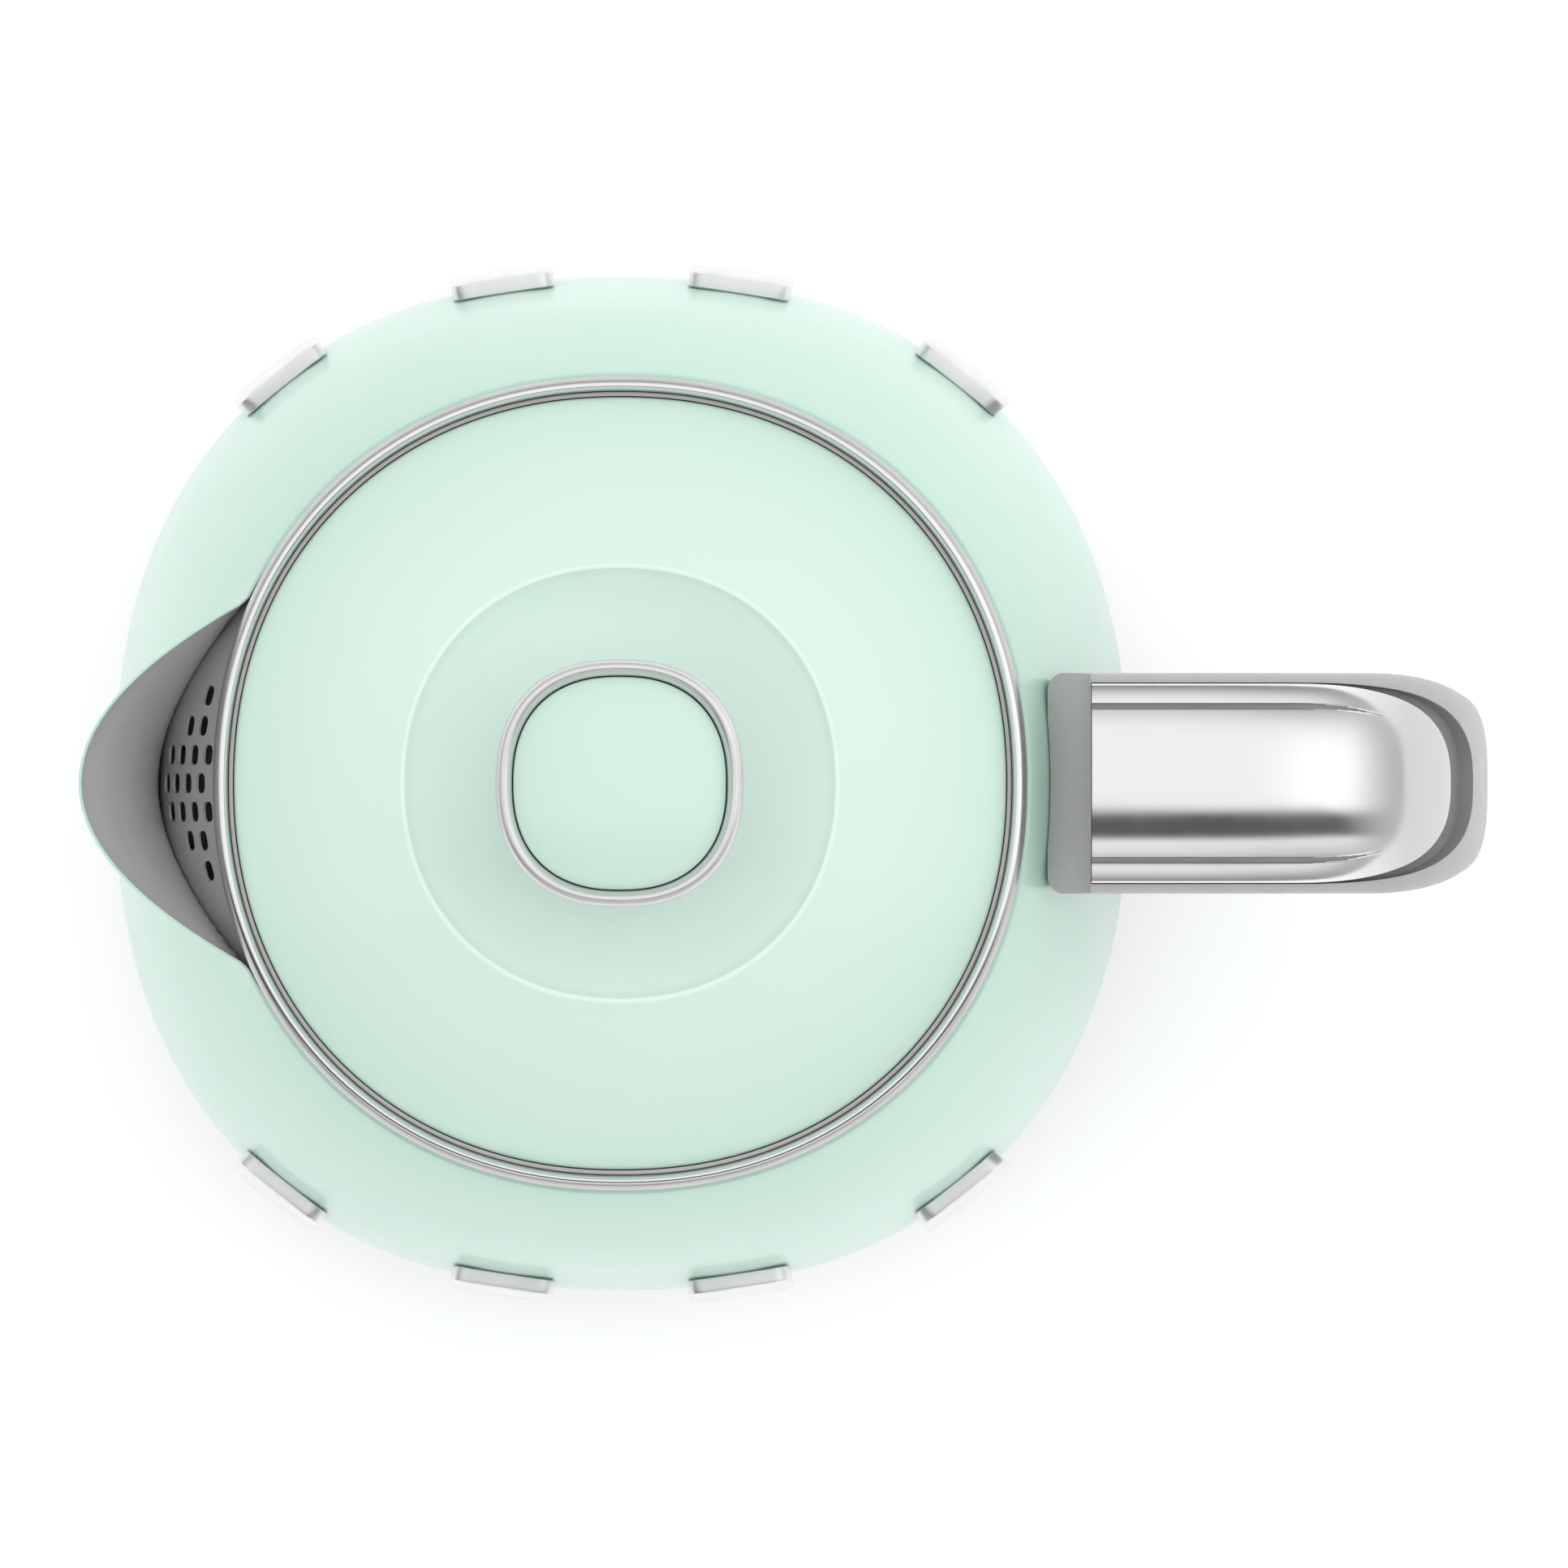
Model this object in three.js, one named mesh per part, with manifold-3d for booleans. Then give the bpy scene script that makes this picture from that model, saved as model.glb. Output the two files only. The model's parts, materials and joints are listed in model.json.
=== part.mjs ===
// A compact retro jug kettle on a swivelling power base, modelled in millimetres with +Z up.
// The origin is on the jug's axis at floor level. The handle points along +X and the spout along -X.
//
// The kettle comes apart into a power base, a round socket that drops on the base's connector, the jug
// with its handle, a lid that lifts straight off, a switch lever, and the rocker that the lever works.
// Every plan outline is a soft square: a superellipse, close to a circle but fuller at its corners.

import * as THREE from "three";
import { mergeVertices } from "three/addons/utils/BufferGeometryUtils.js";
import Module from "manifold-3d";

const wasm = await Module();
wasm.setup();

// ---- driving dimensions ----

const GAP = 0.3; // left between pieces that touch on the real kettle
const WALL = 1.2; // sheet of the body shell
const SIDES = 36; // facets round the body, rim and lid, which nest without crossing
const SMALL_SIDES = 20; // facets round the knob, the connector and other small turned pieces

// body: half-width against height is a superellipse that is widest at BODY_WIDEST_Z
const BODY_HALF = 71.8;
const BODY_WIDEST_Z = 66;
const BODY_BOTTOM_Z = 20;
const BODY_TOP_Z = 163;
const BODY_CURVE = 2.6; // exponent of the side outline
const BODY_RISE = 134.2; // height at which the upper outline would close
const BODY_DROP = 94; // depth at which the lower outline would close

// squareness is the exponent of a plan outline: 2 is a circle
const ROUND = 2;
const BODY_SQUARENESS = 2.33;
const RIM_SQUARENESS = 2.13;
const KNOB_SQUARENESS = 2.36;
const SQUARENESS_BLEND_Z = 100; // above this the body's plan grows rounder towards the rim

// rim, lid and knob
const RIM_OUTER = 57;
const RIM_BORE = 55.1;
const SLEEVE_SHEET = 0.6;
const RIM_TOP_Z = 167.4;
const SLEEVE_BOTTOM_Z = 154;
const LEDGE_INNER = 51;
const LID_HALF = 54.2;
const LID_EDGE_Z = 165.4;
const LID_CREASE = 30.4; // edge of the finger dish round the knob
const LID_DOME_Z = 176; // where the dome would peak without its dish
const LID_DOME_POWER = 2.2;
const DISH_FLOOR_Z = 169.8;
const KNOB_HALF = 17.1;
const KNOB_INSERT_HALF = 15.2;
const KNOB_STEM = 9.6;
const KNOB_TOP_Z = 193.6;

// spout: a parabola in plan, w * w = SPOUT_WIDENING * distance from its tip
const SPOUT_TIP_X = -76;
const SPOUT_WIDENING = 28.5;
const SPOUT_TIP_Z = 168;
const SPOUT_FOOT_Z = 136;
const SPOUT_UNDERCUT = 12.6; // how far the tip line comes in between lip and foot
const SPOUT_BACK_X = -46;
const FILTER_AXIS_X = -28.4;

// handle: its centreline is three sides of a superellipse in the XZ plane
const HANDLE_ROOT_X = 60;
const HANDLE_REACH = 54.1;
const HANDLE_MID_Z = 110;
const HANDLE_RISE = 48;
const HANDLE_CURVE = 3.4;
const HANDLE_HALF_WIDTH = 15.5;
const HANDLE_HALF_THICK = 8.2;
const HANDLE_SECTION = 3.2; // exponent of the handle's section
const CAP_START_X = 66.2;
const CAP_NOSE_X = 117;
const CAP_HALF_WIDTH = 14;
const CAP_CROWN_HALF = 10.8; // half width of the raised middle band
const CAP_CROWN_RISE = 1.6;
const CAP_SHOULDER_X = 95; // where the cap's outline starts to round in
const CAP_CLEARANCE = 0.35; // between the cap and its pocket
const POCKET_MARGIN = 2.5; // room left past the cap's nose
const BRACKET_TOE = { x: 58, z: 155.6 }; // where the bracket's sloping top meets the body
const BRACKET_TOP_Z = 164.4;

// badges: plain plates round the body, four on each side
const BADGE_ANGLES = [50, 76.5, 103.5, 130];
const BADGE_Z = 102;
const BADGE_WIDTH = 14.4;
const BADGE_HEIGHT = 18;
const BADGE_THICK = 2.2;

// chamber under the jug's floor
const FLOOR_Z = 44;
const COVER_TOP_Z = 20.4;
const LEVER_PIVOT = { x: 57, z: 31 };
const ROCKER_PIVOT = { x: 37, z: 27.4 };
const PIN_R = 1.5;
const SOCKET_OUTER = 20;
const STEAM_TUBE = { x: 48, y: 30, outer: 4.6, bore: 3.2 };
const WINDOW = { low: 84, high: 132, half: 4.5 };
const SWITCH_SLOT = { low: 24.4, high: 35.2, half: 10.4 };

// power base
const BASE_R = 64;
const BASE_UNDER_Z = 1.2;
const BASE_TOP_Z = 14.6;
const FOOT_RING_R = 54;
const GLAND_Z = 7.6;

// ---- materials ----

function material(color, roughness, metalness) {
  return new THREE.MeshStandardMaterial({ color, roughness, metalness });
}
const mint = material(0xcdeedd, 0.28, 0.0);
const chrome = material(0xe4e4e4, 0.08, 1.0);
const satinGrey = material(0x9a9a9a, 0.42, 0.6);
const steel = material(0xa8a8a8, 0.35, 1.0);
const brass = material(0xc9a24a, 0.3, 1.0);
const black = material(0x202224, 0.5, 0.0);
const darkGrey = material(0x55585a, 0.55, 0.0);
const silicone = material(0xd8dcda, 0.6, 0.0);
const clear = material(0xdfeef0, 0.05, 0.0);
const rubber = material(0x2b2b2b, 0.85, 0.0);
const amber = material(0xf2b24a, 0.2, 0.0);

// ---- geometry helpers ----

// Radius of a superellipse of half-width 1 at an angle.
function squareFactor(angle, n) {
  return (Math.abs(Math.cos(angle)) ** n + Math.abs(Math.sin(angle)) ** n) ** (-1 / n);
}

// A closed geometry as a manifold-3d solid that faces out.
function solid(geometry) {
  const bare = geometry.clone();
  bare.deleteAttribute("normal");
  bare.deleteAttribute("uv");
  const merged = mergeVertices(bare, 1e-4);
  const triVerts = new Uint32Array(merged.index.array);
  const vertProperties = merged.attributes.position.array;
  const made = new wasm.Manifold(new wasm.Mesh({ numProp: 3, vertProperties, triVerts }));
  if (made.volume() > 0) return made;
  for (let i = 0; i < triVerts.length; i += 3) {
    [triVerts[i + 1], triVerts[i + 2]] = [triVerts[i + 2], triVerts[i + 1]];
  }
  return new wasm.Manifold(new wasm.Mesh({ numProp: 3, vertProperties, triVerts }));
}

// A profile of [radius, z] turned about Z; squareness is one exponent or a function of (radius, z).
function turned(profile, segments, squareness = ROUND) {
  const points = profile.map(([r, z]) => new THREE.Vector2(Math.max(r, 0), z));
  const geometry = new THREE.LatheGeometry(points, segments).rotateX(Math.PI / 2);
  const position = geometry.attributes.position;
  for (let i = 0; i < position.count; i++) {
    const x = position.getX(i);
    const y = position.getY(i);
    const n = typeof squareness === "function" ? squareness(Math.hypot(x, y), position.getZ(i)) : squareness;
    const factor = squareFactor(Math.atan2(y, x), n);
    position.setXY(i, x * factor, y * factor);
  }
  return solid(geometry);
}

// A closed loop of [radius, z], which needs its first point again at the end.
const ring = (profile, segments, squareness) => turned([...profile, profile[0]], segments, squareness);

const outline = (points) => new THREE.Shape(points.map(([x, y]) => new THREE.Vector2(x, y)));

// An XY outline stood up from z = low to z = high.
function prism(points, low, high, steps = 1) {
  const options = { depth: high - low, steps, bevelEnabled: false };
  return new THREE.ExtrudeGeometry(outline(points), options).translate(0, 0, low);
}

// An XZ outline spread evenly across Y.
function slab(points, halfWidth, bevel = 0) {
  const depth = 2 * (halfWidth - bevel);
  const options = { depth, bevelEnabled: bevel > 0, bevelSegments: 2 };
  Object.assign(options, { bevelSize: bevel, bevelThickness: bevel, bevelOffset: -bevel });
  const geometry = new THREE.ExtrudeGeometry(outline(points), options);
  return solid(geometry.translate(0, 0, -depth / 2).rotateX(Math.PI / 2));
}

function block(x0, x1, y0, y1, z0, z1) {
  const geometry = new THREE.BoxGeometry(x1 - x0, y1 - y0, z1 - z0);
  return solid(geometry.translate((x0 + x1) / 2, (y0 + y1) / 2, (z0 + z1) / 2));
}

// A round bar that stands along Z.
function post(x, y, r, low, high, segments = 12) {
  const geometry = new THREE.CylinderGeometry(r, r, high - low, segments).rotateX(Math.PI / 2);
  return solid(geometry.translate(x, y, (low + high) / 2));
}

// A round bar that lies along Y.
function crossPin(x, z, r, half, segments = 12) {
  return solid(new THREE.CylinderGeometry(r, r, 2 * half, segments).translate(x, 0, z));
}

function polar(r, degrees) {
  const angle = THREE.MathUtils.degToRad(degrees);
  return [r * Math.cos(angle), r * Math.sin(angle)];
}

const union = (solids) => solids.reduce((a, b) => a.add(b));

// Calls at with count + 1 even steps from 0 to 1.
const span = (count, at) => Array.from({ length: count + 1 }, (_, i) => at(i / count));

const levels = (low, high, rows) => span(rows, (t) => low + t * (high - low));

// ---- the group that this file exports ----

const kettle = new THREE.Group();

function piece(name, made, look) {
  const mesh = made.getMesh();
  const geometry = new THREE.BufferGeometry();
  geometry.setAttribute("position", new THREE.BufferAttribute(new Float32Array(mesh.vertProperties), 3));
  geometry.setIndex(new THREE.BufferAttribute(new Uint32Array(mesh.triVerts), 1));
  geometry.computeVertexNormals();
  const node = new THREE.Mesh(geometry, look);
  node.name = name;
  kettle.add(node);
}

// ---- body shape ----

function bodyHalf(z) {
  const away = z > BODY_WIDEST_Z ? (z - BODY_WIDEST_Z) / BODY_RISE : (BODY_WIDEST_Z - z) / BODY_DROP;
  return BODY_HALF * (1 - away ** BODY_CURVE) ** (1 / BODY_CURVE);
}

function bodySquareness(_, z) {
  const t = THREE.MathUtils.smoothstep(z, SQUARENESS_BLEND_Z, BODY_TOP_Z);
  return THREE.MathUtils.lerp(BODY_SQUARENESS, RIM_SQUARENESS, t);
}

// The body's outer surface moved in by inset, as a solid between two heights.
function bodyCore(inset, low, high, rows) {
  const side = levels(low, high, rows).map((z) => [bodyHalf(Math.min(z, BODY_TOP_Z)) - inset, z]);
  return turned([[0, low], ...side, [0, high]], SIDES, bodySquareness);
}

const BODY_ROWS = 10;
const bodyKeepOut = bodyCore(-GAP, 0, BODY_TOP_Z, 14); // what the handle stays clear of

// ---- spout ----

const ABOVE_ALL = 220; // a height over everything, where cutting shapes end
const SPOUT_LEAN_CURVE = 1.6; // how late the tip line swings out to the lip

// Distance that the tip line has come in from the lip, at a height.
function spoutShift(z) {
  const t = Math.max(z - SPOUT_FOOT_Z, 0) / (SPOUT_TIP_Z - SPOUT_FOOT_Z);
  return SPOUT_UNDERCUT * (1 - t ** SPOUT_LEAN_CURVE);
}

// The spout's plan parabola moved in by inset, leaned along its tip line.
function spoutBody(inset, low, high) {
  const back = Math.sqrt(SPOUT_WIDENING * (SPOUT_BACK_X - SPOUT_TIP_X));
  const side = span(9, (t) => {
    const w = back * t ** 0.8; // closer points near the tip
    const lean = (2 * w) / SPOUT_WIDENING;
    const normal = Math.hypot(1, lean);
    const x = SPOUT_TIP_X + (w * w) / SPOUT_WIDENING + inset / normal;
    return [x, Math.max(w - (inset * lean) / normal, 0)];
  });
  const mirrored = side.slice(1).map(([x, y]) => [x, -y]);
  const geometry = prism([...mirrored.reverse(), ...side], low, high, 9);
  const position = geometry.attributes.position;
  for (let i = 0; i < position.count; i++) {
    position.setX(i, position.getX(i) + spoutShift(position.getZ(i)));
  }
  return solid(geometry);
}
const SPOUT_ROOT_Z = SPOUT_FOOT_Z - 1;
const spoutInside = (inset) => spoutBody(inset, SPOUT_ROOT_Z + 0.5, SPOUT_TIP_Z + 5);

// Everything above the lip's slanting plane, which runs from the rim out to the tip.
const LIP_BACK_X = -52;
const LIP_SLOPE = (SPOUT_TIP_Z - BODY_TOP_Z) / (SPOUT_TIP_X - LIP_BACK_X);
const lipHeight = (x) => BODY_TOP_Z + (x - LIP_BACK_X) * LIP_SLOPE;
const aboveLip = slab(
  [
    [-100, lipHeight(-100)],
    [-40, lipHeight(-40)],
    [-40, ABOVE_ALL],
    [-100, ABOVE_ALL],
  ],
  60,
);

// A column of the rim's plan, open upwards.
function rimColumn(r, low) {
  return turned([[0, low], [r, low], [r, ABOVE_ALL], [0, ABOVE_ALL]], SIDES, RIM_SQUARENESS);
}
const SLEEVE_ROOM = RIM_BORE + SLEEVE_SHEET + GAP; // radius that the sleeve needs inside the body
const sleeveEnvelope = rimColumn(SLEEVE_ROOM, SLEEVE_BOTTOM_Z - 0.4);
const ringEnvelope = rimColumn(RIM_OUTER + GAP, BODY_TOP_Z - 0.1);

// The body's hollow, smaller than its outside by inset, with the mouth that the sleeve drops into.
function bodyInside(inset) {
  const low = BODY_BOTTOM_Z - 1;
  const side = levels(low, BODY_TOP_Z - 2, BODY_ROWS).map((z) => [bodyHalf(z) - inset, z]);
  const mouth = SLEEVE_ROOM - (inset - WALL);
  const neck = [[mouth, BODY_TOP_Z - 1], [mouth, ABOVE_ALL], [0, ABOVE_ALL]];
  return turned([[0, low], ...side, ...neck], SIDES, bodySquareness);
}

const switchSlot = block(55, 80, -SWITCH_SLOT.half, SWITCH_SLOT.half, SWITCH_SLOT.low, SWITCH_SLOT.high);
const windowBlock = (grow) =>
  block(55, 80, -WINDOW.half - grow, WINDOW.half + grow, WINDOW.low - grow, WINDOW.high + grow);

const beak = spoutBody(0, SPOUT_ROOT_Z, SPOUT_TIP_Z + 4).subtract(aboveLip).subtract(ringEnvelope);
piece(
  "body_shell",
  bodyCore(0, BODY_BOTTOM_Z, BODY_TOP_Z, BODY_ROWS)
    .add(beak)
    .subtract(bodyInside(WALL))
    .subtract(spoutInside(WALL))
    .subtract(switchSlot)
    .subtract(windowBlock(0)),
  mint,
);

// ---- filter: a slotted steel dome that closes the foot of the spout ----

const FILTER_LOW_Z = 139;
const FILTER_TOP_Z = 162.4;
const FILTER_SHEET = 0.8;
const FILTER_HALF_WIDTH = 21;
const FILTER_SLOT = { long: 2.8, tall: 2.2, deep: 6 };
const SLOT_PITCH = 4;
const SLOT_DROP = 3.8;
// Each row of slots: how many, and the height of its top one; the middle row comes first.
const FILTER_ROWS = [
  { count: 4, start: 159.5 },
  { count: 4, start: 161.2 },
  { count: 2, start: 158.6 },
  { count: 1, start: 158.6 },
];

// The filter is straight at its foot and leans in towards the mouth.
const filterRadius = (z) => 36.4 - 7.8 * (Math.max(z - 143, 0) / 19.8) ** 1.5;

function filterSlot(y, z) {
  const r = filterRadius(z);
  const angle = Math.PI - Math.asin(y / r);
  const slope = Math.atan2(filterRadius(z - 0.5) - filterRadius(z + 0.5), 1);
  const level = new THREE.Vector3(Math.cos(angle), Math.sin(angle), 0);
  const out = level.clone().multiplyScalar(Math.cos(slope)).setZ(Math.sin(slope));
  const along = new THREE.Vector3(-Math.sin(angle), Math.cos(angle), 0);
  const up = new THREE.Vector3().crossVectors(out, along);
  const place = new THREE.Matrix4().makeBasis(along, up, out);
  place.setPosition(FILTER_AXIS_X + r * Math.cos(angle), r * Math.sin(angle), z);
  const cutter = new THREE.BoxGeometry(FILTER_SLOT.long, FILTER_SLOT.tall, FILTER_SLOT.deep);
  return solid(cutter.applyMatrix4(place));
}

function limescaleFilter() {
  const heights = levels(FILTER_LOW_Z, FILTER_TOP_Z, 4);
  const outer = heights.map((z) => [filterRadius(z), z]);
  const inner = heights.map((z) => [filterRadius(z) - FILTER_SHEET, z]).reverse();
  const profile = [...outer, ...inner, outer[0]].map(([r, z]) => new THREE.Vector2(r, z));
  const sheet = new THREE.LatheGeometry(profile, 40).rotateX(Math.PI / 2).translate(FILTER_AXIS_X, 0, 0);
  const room = bodyInside(WALL + GAP).add(spoutInside(WALL + GAP)).subtract(sleeveEnvelope);
  const front = block(-80, -50, -FILTER_HALF_WIDTH, FILTER_HALF_WIDTH, 130, FILTER_TOP_Z + 0.1);
  let made = solid(sheet).intersect(room).intersect(front);
  FILTER_ROWS.forEach(({ count, start }, row) => {
    for (let i = 0; i < count; i++) {
      for (const side of row ? [-1, 1] : [1]) {
        made = made.subtract(filterSlot(side * row * SLOT_PITCH, start - SLOT_DROP * i));
      }
    }
  });
  return made;
}
piece("limescale_filter", limescaleFilter(), steel);

// ---- rim ring: a half-round bead over a sleeve with the lid's ledge ----

const BEAD_RISE = 2;
const LEDGE_SHEET = 1.2;
const bead = span(6, (t) => {
  const angle = Math.PI * t;
  const middle = (RIM_OUTER + RIM_BORE) / 2;
  const r = middle + ((RIM_OUTER - RIM_BORE) / 2) * Math.cos(angle);
  return [r, RIM_TOP_Z - BEAD_RISE + BEAD_RISE * Math.sin(angle)];
});
piece(
  "rim_ring",
  ring(
    [
      [RIM_BORE + SLEEVE_SHEET, SLEEVE_BOTTOM_Z],
      [RIM_BORE + SLEEVE_SHEET, BODY_TOP_Z + GAP],
      [RIM_OUTER, BODY_TOP_Z + GAP],
      ...bead,
      [RIM_BORE, SLEEVE_BOTTOM_Z + LEDGE_SHEET],
      [LEDGE_INNER, SLEEVE_BOTTOM_Z + LEDGE_SHEET],
      [LEDGE_INNER, SLEEVE_BOTTOM_Z],
    ],
    SIDES,
    RIM_SQUARENESS,
  ),
  chrome,
);

// ---- lid ----

const lidDomeZ = (r) => LID_DOME_Z - (LID_DOME_Z - LID_EDGE_Z) * (r / LID_HALF) ** LID_DOME_POWER;

function lidSquareness(r) {
  const t = THREE.MathUtils.smoothstep(r, KNOB_HALF, LID_CREASE);
  return THREE.MathUtils.lerp(KNOB_SQUARENESS, RIM_SQUARENESS, t);
}

const LID_SHEET = 1.4;
const LID_SKIRT_Z = 160.6;
const STUD_ROOM = 3; // radius of the hole that the knob's screw passes
const dome = span(4, (t) => LID_HALF + t * (LID_CREASE + 0.8 - LID_HALF)).map((r) => [r, lidDomeZ(r)]);
const dish = [
  [LID_CREASE - 0.8, lidDomeZ(LID_CREASE) - 0.7],
  [25.6, 170.5],
  [19, DISH_FLOOR_Z],
];
const lidTop = [...dome, ...dish];
const lidInside = [[STUD_ROOM, DISH_FLOOR_Z], dish[2], dish[1], dome[4], dome[2], dome[0]].map(([r, z]) => [
  Math.min(r, LID_HALF - LID_SHEET),
  z - LID_SHEET,
]);
piece(
  "lid_cover",
  ring(
    [
      [LID_HALF, LID_SKIRT_Z],
      ...lidTop,
      [STUD_ROOM, DISH_FLOOR_Z],
      ...lidInside,
      [LID_HALF - LID_SHEET, LID_SKIRT_Z],
    ],
    SIDES,
    lidSquareness,
  ),
  mint,
);

piece(
  "lid_pan",
  ring(
    [
      [2.6, 160.3],
      [2.6, 158.9],
      [47, 158.9],
      [49.4, 156.4],
      [53.2, 156.4],
      [53.2, 157.4],
      [49.9, 157.4],
      [48.6, 160.3],
    ],
    SIDES,
    RIM_SQUARENESS,
  ),
  steel,
);

piece(
  "lid_seal",
  ring(
    [
      [50.6, 157.7],
      [RIM_BORE - GAP, 157.7],
      [RIM_BORE - 0.7, 159],
      [RIM_BORE - GAP, 160.2],
      [49.6, 160.2],
    ],
    SIDES,
    RIM_SQUARENESS,
  ),
  silicone,
);

const knobRim = KNOB_TOP_Z - 1.6;
piece(
  "knob_cup",
  ring(
    [
      [2.5, DISH_FLOOR_Z + GAP],
      [KNOB_STEM + 2.4, DISH_FLOOR_Z + GAP],
      [KNOB_STEM + 0.6, 171.4],
      [KNOB_STEM, 174.5],
      [KNOB_STEM + 1.2, 178.5],
      [KNOB_HALF - 2, 181.8],
      [KNOB_HALF - 0.3, 184],
      [KNOB_HALF, 187],
      [KNOB_HALF, knobRim - 0.9],
      [KNOB_HALF - 0.5, knobRim],
      [KNOB_INSERT_HALF + 0.5, knobRim],
      [KNOB_INSERT_HALF + 0.1, knobRim - 0.8],
      [KNOB_INSERT_HALF, 186],
      [2.5, 186],
    ],
    28,
    KNOB_SQUARENESS,
  ),
  chrome,
);

piece(
  "knob_insert",
  turned(
    [
      [0, 186.3],
      [KNOB_INSERT_HALF - GAP, 186.3],
      [KNOB_INSERT_HALF - GAP, 190.6],
      [KNOB_INSERT_HALF - 0.9, 191.6],
      [11, 192.7],
      [6, 193.4],
      [0, KNOB_TOP_Z],
    ],
    28,
    KNOB_SQUARENESS,
  ),
  mint,
);

piece(
  "knob_washer",
  ring([[2.6, 167.6], [6.6, 167.6], [6.6, 168.1], [2.6, 168.1]], SMALL_SIDES),
  silicone,
);

piece(
  "knob_screw",
  turned([[0, 164.6], [4.4, 165.4], [4.4, 167.3], [2.2, 167.3], [2.2, 184], [0, 184.6]], SMALL_SIDES),
  steel,
);

// ---- handle ----

// A point of the handle's centreline; t runs from 0 at the upper root to 1 at the lower one.
function handleAt(t) {
  const angle = Math.PI * (0.5 - t);
  const power = 2 / HANDLE_CURVE;
  const x = HANDLE_ROOT_X + HANDLE_REACH * Math.abs(Math.cos(angle)) ** power;
  const z = HANDLE_MID_Z + HANDLE_RISE * Math.sign(Math.sin(angle)) * Math.abs(Math.sin(angle)) ** power;
  return new THREE.Vector3(x, 0, z);
}

// Height of the handle's surface above its centreline, across the width.
function handleCrown(y) {
  const share = Math.min(Math.abs(y) / HANDLE_HALF_WIDTH, 1);
  return HANDLE_HALF_THICK * (1 - share ** HANDLE_SECTION) ** (1 / HANDLE_SECTION);
}

// A section of [across, outward] points swept along the handle, as far as the end fraction of it.
function sweptHandle(section, steps = 22, end = 1) {
  const shape = outline(section.map(([across, outward]) => [-across, -outward]));
  const extrudePath = new THREE.CatmullRomCurve3(span(28, (t) => handleAt(t * end)));
  return solid(new THREE.ExtrudeGeometry(shape, { steps, extrudePath, bevelEnabled: false }));
}

const CAP_REACH = 0.36; // fraction of the handle that the cap's sweep covers
const CAP_STEPS = 13;

const SPLIT = -2.6; // where the grip liner meets the core, below the centreline

// The part of the handle's section on one side (1 outward, -1 inward) of a straight split.
function handleSection(split, side) {
  const start = Math.asin(split / HANDLE_HALF_THICK);
  const from = side > 0 ? start : Math.PI - start;
  const sweep = Math.PI - 2 * start * side;
  return span(14, (t) => {
    const angle = from + t * sweep;
    const factor = squareFactor(angle, HANDLE_SECTION);
    return [HANDLE_HALF_WIDTH * factor * Math.cos(angle), HANDLE_HALF_THICK * factor * Math.sin(angle)];
  });
}

// The tongue that the cap fills, seen from above.
function tongue(nose, halfWidth) {
  const round = span(12, (t) => {
    const angle = Math.PI * (0.5 - t);
    const factor = squareFactor(angle, 2.8);
    const x = CAP_SHOULDER_X + (nose - CAP_SHOULDER_X) * factor * Math.cos(angle);
    return [x, halfWidth * factor * Math.sin(angle)];
  });
  const back = CAP_START_X - 8;
  return solid(prism([[back, halfWidth], ...round, [back, -halfWidth]], 140, 190));
}

// Everything on the handle's top from a start along X.
const topFrom = (x) => block(x, 130, -HANDLE_HALF_WIDTH - 0.5, HANDLE_HALF_WIDTH + 0.5, 120, 180);

const POCKET = 1.4; // depth of the cap's pocket
const CAP_LEDGE = 0.5; // height of the flat ledge beside the cap's raised band
const CAP_STEP = 1.3; // height of the raised band at its own edge
const across = (half) => levels(-half, half, 10);
const capFloor = (y) => handleCrown(y) - POCKET + GAP;
function capTop(y) {
  if (Math.abs(y) > CAP_CROWN_HALF) return handleCrown(y) + CAP_LEDGE;
  return handleCrown(y) + CAP_STEP + CAP_CROWN_RISE * (1 - (y / CAP_CROWN_HALF) ** 2);
}
const bandEdge = [CAP_CROWN_HALF + 0.01, CAP_CROWN_HALF - 0.01];
const bandEdges = [...bandEdge, ...bandEdge.map((y) => -y)];
const capAcross = [...across(CAP_HALF_WIDTH), ...bandEdges].sort((a, b) => a - b);
const capUnder = across(CAP_HALF_WIDTH).reverse();
const capSection = [...capAcross.map((y) => [y, capTop(y)]), ...capUnder.map((y) => [y, capFloor(y)])];

const POCKET_HALF = CAP_HALF_WIDTH + CAP_CLEARANCE;
const POCKET_LID = 14; // how far the pocket's cutting shape stands over the handle
const pocketFloor = across(POCKET_HALF).map((y) => [y, handleCrown(y) - POCKET]);
const pocketSection = [...pocketFloor.reverse(), [-POCKET_HALF, POCKET_LID], [POCKET_HALF, POCKET_LID]];
const pocket = sweptHandle(pocketSection, CAP_STEPS, CAP_REACH)
  .intersect(tongue(CAP_NOSE_X + POCKET_MARGIN, POCKET_HALF))
  .intersect(topFrom(CAP_START_X - CAP_CLEARANCE));

// The bracket's top falls from the cap down to the body.
const bracketHead = CAP_START_X - CAP_CLEARANCE;
const aboveBracket = slab(
  [
    [BRACKET_TOE.x, BRACKET_TOE.z],
    [bracketHead, BRACKET_TOP_Z],
    [bracketHead, ABOVE_ALL],
    [BRACKET_TOE.x, ABOVE_ALL],
  ],
  SMALL_SIDES,
);

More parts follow.
